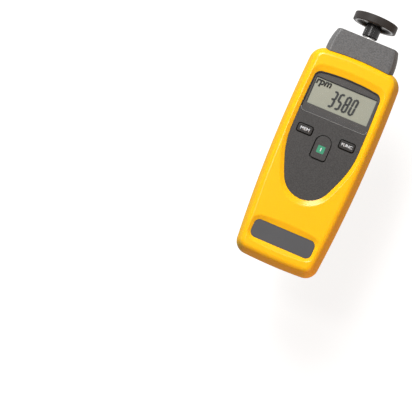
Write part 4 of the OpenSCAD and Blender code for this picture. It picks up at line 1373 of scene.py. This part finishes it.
@dataclass
class Face:
    """Fascia, lens, badge plate and the three keys."""

    form: FaceForm = FaceForm()
    lens_t: float = 1.0 * MM
    lens_bottom_y: float = 26.0 * MM
    lens_corner_r: float = 2.4 * MM
    lens_rim: float = 0.5 * MM
    lens_fit: float = 0.05 * MM
    view: Triple = mm(41.2, 18.1, 41.35)
    small_key: Triple = mm(10.1, 5.6, 1.3)
    small_key_place: Point = mm(14.35, 15.9)
    small_proud: float = 0.9 * MM
    power_w: float = 10.1 * MM
    power_h: float = 15.6 * MM
    power_y: float = 8.9 * MM
    power_r: float = 1.7 * MM
    power_proud: float = 0.3 * MM
    key_gap: float = 0.3 * MM
    hole_gap: float = 0.42 * MM
    power_hole_gap: float = 0.55 * MM
    hole_shift: Point = mm(-0.14, -0.22)
    seam: float = 0.12 * MM
    flange: float = 0.8 * MM
    flange_t: float = 0.7 * MM
    flange_drop: float = 0.75 * MM
    cap_edge: float = 0.7 * MM
    power_edge: float = 0.3 * MM
    cap_angles: Sequence[int] = (0, 15, 30, 45, 60, 75, 90)
    painted_shade_from: float = 0.8
    upright: float = 0.5
    seat_band: float = 0.01 * MM
    highlight_band: Point = (0.1, 0.98)
    window_r: float = 0.4 * MM
    window_wall: float = 0.3 * MM
    panel_edge: float = 0.12 * MM
    lens_edge: float = 0.32 * MM
    badge_edge: float = 0.2 * MM
    crisp: float = 50.0
    words: Sequence[tuple[int, str, str, float]] = (
        (-1, "memory", "MEM", 6.1 * MM), (1, "function", "FUNC", 7.3 * MM))
    word_y: Point = mm(-1.0, 1.05)
    mark_t: float = 0.02 * MM
    mark_y: float = 7.6 * MM
    green: Point = mm(4.85, 0.5)
    bar: Triple = mm(0.65, 2.4, 0.3)

    def _lens_ring(self, inset: float) -> Ring:
        """Outline of the lens: the fascia's, cut off below, with rounded lower corners.

        Args:
            inset: How far it is drawn in.

        Returns:
            The outline, from its lower right corner.
        """
        low, r = self.lens_bottom_y + inset, self.lens_corner_r
        upper = [p for p in self.form.fascia(inset) if p.y > low + r]
        upper.sort(key=lambda p: math.atan2(p.y - low - r, p.x))
        side = max(p.x for p in upper if p.y < low + 3 * r)
        right = arc(Vector((side - r, low + r)), r, -90, 0, 10)
        left = arc(Vector((r - side, low + r)), r, 180, 270, 10)
        return right + upper + left + [Vector((r - side, low))]

    def _power_ring(self, grow: float) -> Ring:
        """Outline of the power key: round at the top, with small lower corners.

        Args:
            grow: How far it is moved out.

        Returns:
            The outline, from its lower right corner.
        """
        half, r = self.power_w / 2 + grow, self.power_r + grow
        low = self.power_y - self.power_h / 2 - grow
        middle = self.power_y + self.power_h / 2 - self.power_w / 2
        return (arc(Vector((half - r, low + r)), r, -90, 0, 10)
                + arc(Vector((0, middle)), half, 0, 180, 40) + [Vector((-half, middle))]
                + arc(Vector((r - half, low + r)), r, 180, 270, 10) + [Vector((r - half, low))])

    def _small_ring(self, side: int, grow: float) -> Ring:
        """Outline of the small key on one side, -1 or 1, moved out by grow."""
        (wide, high, r), (x, y) = self.small_key, self.small_key_place
        return rounded_rect(wide + 2 * grow, high + 2 * grow, r + grow, (side * x, y))

    def fascia(self) -> None:
        """Dark panel with its window, lens seat and key holes."""
        form, shift = self.form, Vector(self.hole_shift)
        low, high = form.ledge_z - MM, form.fascia_z + MM
        seat_z = form.fascia_z - self.lens_t
        panel = Bench.prism("fascia_moulding", form.fascia(self.seam), form.ledge_z, form.fascia_z)
        Bench.carve(panel, self._lens_ring(self.lens_rim - self.lens_fit), seat_z, high)
        wide, tall, y = self.view
        for ring in (rounded_rect(wide, tall, self.window_r, (0, y), 4),
                     self._small_ring(-1, self.hole_gap), self._small_ring(1, self.hole_gap),
                     [p + shift for p in self._power_ring(self.power_hole_gap)]):
            Bench.carve(panel, ring, low, high)
        Bench.soften(panel, self.panel_edge, self.crisp)
        dress(panel, PANEL, "case", "fascia_panel")
        reach_x, reach_y = wide / 2 + self.window_wall, tall / 2 + self.window_wall
        Bench.recolour(panel, SHADE, lambda middle, normal: abs(middle.x) < reach_x
                       and abs(middle.y - y) < reach_y and abs(normal.z) < self.upright)
        Bench.recolour(panel, PANEL_RIM, lambda middle, _: abs(middle.z - seat_z) < self.seat_band)

    def lens(self) -> None:
        """Clear lens over the display, a hair above its seat, with a painted highlight on its lower
        edge.
        """
        top = self.form.fascia_z
        low = top - self.lens_t + self.lens_fit
        lens = Bench.prism("lens_moulding", self._lens_ring(self.lens_rim), low, top)
        Bench.soften(lens, self.lens_edge, self.crisp)
        dress(lens, LENS, "case", "display_lens")
        end = self.lens_bottom_y + self.lens_rim + self.lens_corner_r
        flat, steep = self.highlight_band
        # The lower sloped edge faces get the light grey painted highlight.
        Bench.recolour(lens, LENS_PAINTED_HIGHLIGHT,
                       lambda middle, normal: flat < normal.z < steep and middle.y < end)

    def badge(self) -> None:
        """Bare badge plate with a softened edge."""
        form = self.form
        ring = rounded_rect(form.badge_w, form.badge_h, form.badge_r, (0, form.badge_y),
                            form.badge_corner)
        plate = Bench.prism("badge_moulding", ring, form.fascia_z - form.badge_t, form.fascia_z)
        Bench.soften(plate, self.badge_edge, self.crisp, 3)
        dress(plate, BADGE, "case", "badge_plate")

    def _key(self, name: str, ring: Callable[[float], Ring], top: float, edge: float,
             finish: Finish) -> None:
        """Key with a flange, duller sides darkened with painted shade, and a softly rounded cap.

        Args:
            name: Which key it is.
            ring: The key's outline, moved out by a distance.
            top: Height of the cap.
            edge: Radius of the cap's edge.
            finish: Finish of the cap.
        """
        low = self.form.ledge_z - self.flange_drop
        brim = ring(self.key_gap + self.flange)
        step = low + self.flange_t
        rings = [raised(brim, low), raised(brim, step), raised(ring(0), step)]
        for turn in map(math.radians, self.cap_angles):
            cap = ring(-edge * (1 - math.cos(turn)))
            rings.append(raised(cap, top - edge + edge * math.sin(turn)))
        key = Bench.loft(name + "_key_cap", rings)
        Bench.soften(key, 0)
        dress(key, finish, name + "_button", name + "_key")
        # Faces that tilt away from the top are darkened as painted shade.
        Bench.recolour(key, KEY_SIDE_PAINTED_SHADE, lambda _, normal: normal.z < self.painted_shade_from)

    def keys(self) -> None:
        """The three keys with their marks."""
        top = self.form.fascia_z + self.small_proud
        x, y = self.small_key_place
        low, high = self.word_y
        for side, name, word, width in self.words:
            self._key(name, lambda grow, s=side: self._small_ring(s, grow), top, self.cap_edge, KEY)
            box = (side * x - width / 2, side * x + width / 2, y + low, y + high)
            mark = Bench.lettering(name + "_mark", word, box, top, self.mark_t)
            dress(mark, WHITE, name + "_button")
        top = self.form.fascia_z + self.power_proud
        self._key("power", self._power_ring, top, self.power_edge, PANEL)
        (square, square_r), (wide, tall, bar_r) = self.green, self.bar
        for name, size, finish in (("power_field", (square, square, square_r), GREEN),
                                   ("power_mark", (wide, tall, bar_r), WHITE)):
            ring = rounded_rect(*size, (0, self.mark_y), 6)
            dress(Bench.prism(name, ring, top, top + self.mark_t), finish, "power_button")
            top += self.mark_t

    def build(self) -> None:
        """Build and dress the face."""
        for step in (self.fascia, self.lens, self.badge, self.keys):
            step()


@dataclass
class Adapter:
    """Contact adapter: two grey shells over the bearings, the front one with facets."""

    edge: float = 0.2 * MM
    crease: float = 18.0
    axis_z: float = 17.4 * MM
    face_z: float = 26.3 * MM
    half_w: float = 23.3 * MM
    waist_y: float = 72 * MM
    side_r: float = 36 * MM
    reach: Point = mm(58, 88)
    facet: Sequence[Point] = ((-3.0, -12.0), (-3.0, -3.0), (2.0, -1.0), (2.5, -0.58), (2.75, -0.42),
                              (4.4, 0.02), (4.4, 0.5))
    steps: int = 16

    def _outline(self, inset: float) -> Ring:
        """Outline of the head.

        Args:
            inset: How far its curved sides are drawn in.

        Returns:
            The outline, from its lower right corner.
        """
        low, high = self.reach
        side = []
        for i in range(self.steps + 1):
            y = low + (high - low) * i / self.steps
            sag = self.side_r - math.sqrt(self.side_r ** 2 - max(0.0, y - self.waist_y) ** 2)
            side.append(Vector((self.half_w - inset - sag, y)))
        return side + [Vector((-p.x, p.y)) for p in reversed(side)]

    def build(self) -> None:
        """Dress the adapter."""
        front = Bench.copy_node("adapter_front_shell", "adapter_front_moulding")
        rings = [raised(self._outline(inset * MM), self.face_z + rise * MM)
                 for inset, rise in self.facet]
        Bench.cut(front, Bench.loft("facet_tool", rings), KEEP)
        Bench.soften(front, 0)
        dress(front, GREY, "adapter", "adapter_front_shell")
        polished("adapter_rear_shell", GREY, "adapter", self.edge, self.crease)


@dataclass
class Wheel:
    """Contact wheel on the spindle axis: tyre, lipped rim, web and slotted hub."""

    axis_z: float = 17.4 * MM
    low_y: float = 94.4 * MM
    width: float = 5.3 * MM
    tyre_r: float = 14.55 * MM
    rim_r: float = 12.95 * MM
    lip_w: float = 1.6 * MM
    hub_r: float = 5.2 * MM
    hub_low_y: float = 86.6 * MM
    hub_end_y: float = 99.0 * MM
    web: Point = mm(96.0, 97.7)
    bore_r: float = 2.08 * MM
    bore_end_y: float = 95.9 * MM
    slot: Point = mm(1.7, 3.4)
    slot_wall: float = 0.4 * MM
    flute: Point = mm(0.5, 0.32)
    flutes: int = 6
    flute_turn: float = 15.0
    tread: Sequence[Point] = ((0.9, 0.0), (0.45, 0.04), (0.13, 0.2), (0.0, 0.6))
    slack: float = 0.02 * MM
    lip_edge: Point = mm(0.5, 0.6)
    hub_ends: Triple = mm(0.6, 0.8, 0.4)
    edge: float = 0.08 * MM
    crease: float = 35.0
    hub_reach: float = 0.9 * MM
    lip_reach: float = 0.1 * MM
    lip_facing: float = 0.3
    sides: int = 128

    def _turned(self, name: str, profile: Sequence[Point]) -> Piece:
        """Solid turned about the spindle axis from radii and places along it."""
        return self._along(name, [(disc(r, steps=self.sides), y) for r, y in profile])

    def _along(self, name: str, stations: Sequence[tuple[Ring, float]]) -> Piece:
        """Solid skinned over outlines that stand across the spindle axis."""
        return Bench.loft(name, [across(ring, y, self.axis_z) for ring, y in stations])

    def _groove(self, body: Piece, ring: Ring, high: float) -> None:
        """Cut an outline into the hub, from its lower end up to a place."""
        Bench.cut(body, self._along("groove_tool", [(ring, self.hub_low_y - MM), (ring, high)]))

    def tyre(self) -> None:
        """Tyre with a rounded tread edge."""
        low, high = self.low_y, self.low_y + self.width
        edge = [(self.tyre_r - inset * MM, rise * MM) for inset, rise in self.tread]
        profile = [(r, low + rise) for r, rise in edge]
        profile += [(r, high - rise) for r, rise in reversed(edge)]
        tyre = self._turned("tyre_moulding", profile)
        Bench.cut(tyre, self._turned("rim_tool", [(self.rim_r, low - MM), (self.rim_r, high + MM)]))
        Bench.soften(tyre, 0)
        dress(tyre, TYRE, "contact_wheel", "wheel_tyre")

    def _blank(self) -> Piece:
        """The wheel's body before its bore, slots and flutes.

        Returns:
            The rim with its lips and web, joined to the hub.
        """
        low, high = self.low_y, self.low_y + self.width
        rim = self.rim_r - self.slack
        body = self._turned("wheel_moulding", [(rim, low), (rim, high)])
        inner, (flare, depth) = self.rim_r - self.lip_w, self.lip_edge
        for start, end, way in ((low, self.web[0], -1), (high, self.web[1], 1)):
            profile = [(inner + flare, start + way * MM), (inner + flare, start),
                       (inner, start - way * depth), (inner - flare, end)]
            Bench.cut(body, self._turned("recess_tool", profile))
        nose, fillet, end = self.hub_ends
        r, foot, tip = self.hub_r, self.hub_low_y, self.hub_end_y
        web_low, web_high = self.web
        hub = [(r - nose, foot), (r, foot + nose), (r, web_low - fillet), (r + fillet, web_low),
               (r, web_high), (r, tip - end), (r - end, tip)]
        Bench.cut(body, self._turned("hub", hub), ADD)
        return body

    def body(self) -> None:
        """Rim with raised lips, web, and the fluted hub with its drive slots."""
        body = self._blank()
        self._groove(body, disc(self.bore_r, steps=self.sides), self.bore_end_y)
        wide, long = self.slot
        reach = self.hub_r - self.slot_wall
        corners = [Vector((x * wide / 2, y * reach))
                   for x, y in ((-1, -1), (1, -1), (1, 1), (-1, 1))]
        for turn in (0, 90):
            ring = [polar(p.length, heading(p) + turn) for p in corners]
            self._groove(body, ring, self.hub_low_y + long)
        flute_r, sink = self.flute
        for number in range(self.flutes):
            at = polar(self.hub_r + flute_r - sink, self.flute_turn + 360 * number / self.flutes)
            self._groove(body, disc(flute_r, (at.x, at.y), 12), self.web[0] - MM)
        Bench.soften(body, self.edge, self.crease)
        dress(body, WHEEL, "contact_wheel", "wheel_body")

        def radius(place: Vector) -> float:
            """Distance from the spindle axis."""
            return math.hypot(place.x, place.z - self.axis_z)

        hub, lip = self.hub_r + self.hub_reach, self.rim_r - self.lip_w - self.lip_reach
        Bench.recolour(body, HUB, lambda middle, _: radius(middle) < hub)
        # The lip faces near the rim are lightened as a painted highlight.
        Bench.recolour(body, WHEEL_LIP_PAINTED_HIGHLIGHT, lambda middle, normal: radius(middle) > lip
                       and abs(normal.y) > self.lip_facing)

    def build(self) -> None:
        """Build and dress the wheel."""
        self.tyre()
        self.body()


INNER_NODES: dict[Finish, str] = {
    STEEL: "case_screws board_screws battery_springs battery_contacts adapter_screws "
           "bearing_outer_rings bearing_balls drive_shaft bearing_inner_rings drive_pin",
    BRASS: "bearing_cages shaft_spacer", NICKEL: "bearing_sleeve", ELASTOMER: "lcd_connectors",
    BOARD: "main_board optics_board", CHIP: "board_chips switch_bodies receiver_diode",
    BLACK: "optics_housing slotted_disc", OPTIC: "optics_lenses", LED: "emitter_led",
    CELL: "battery_cells", FOAM: "door_pad",
    PLUNGER: "memory_plunger function_plunger power_plunger",
}


def main() -> None:
    """Load the frame, and build and dress every piece."""
    logging.basicConfig(level=logging.INFO, format="%(name)s: %(message)s")
    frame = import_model()
    NODES.update(frame["nodes"])
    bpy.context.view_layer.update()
    bpy.ops.object.select_all(action="DESELECT")
    Studio().set_up()
    for finish, nodes in INNER_NODES.items():
        dress_nodes(nodes.split(), finish)
    for part in (CaseShells(), Display(), Face(), Adapter(), Wheel()):
        part.build()
        LOG.info("%s built", type(part).__name__)


if __name__ == "__main__":
    main()
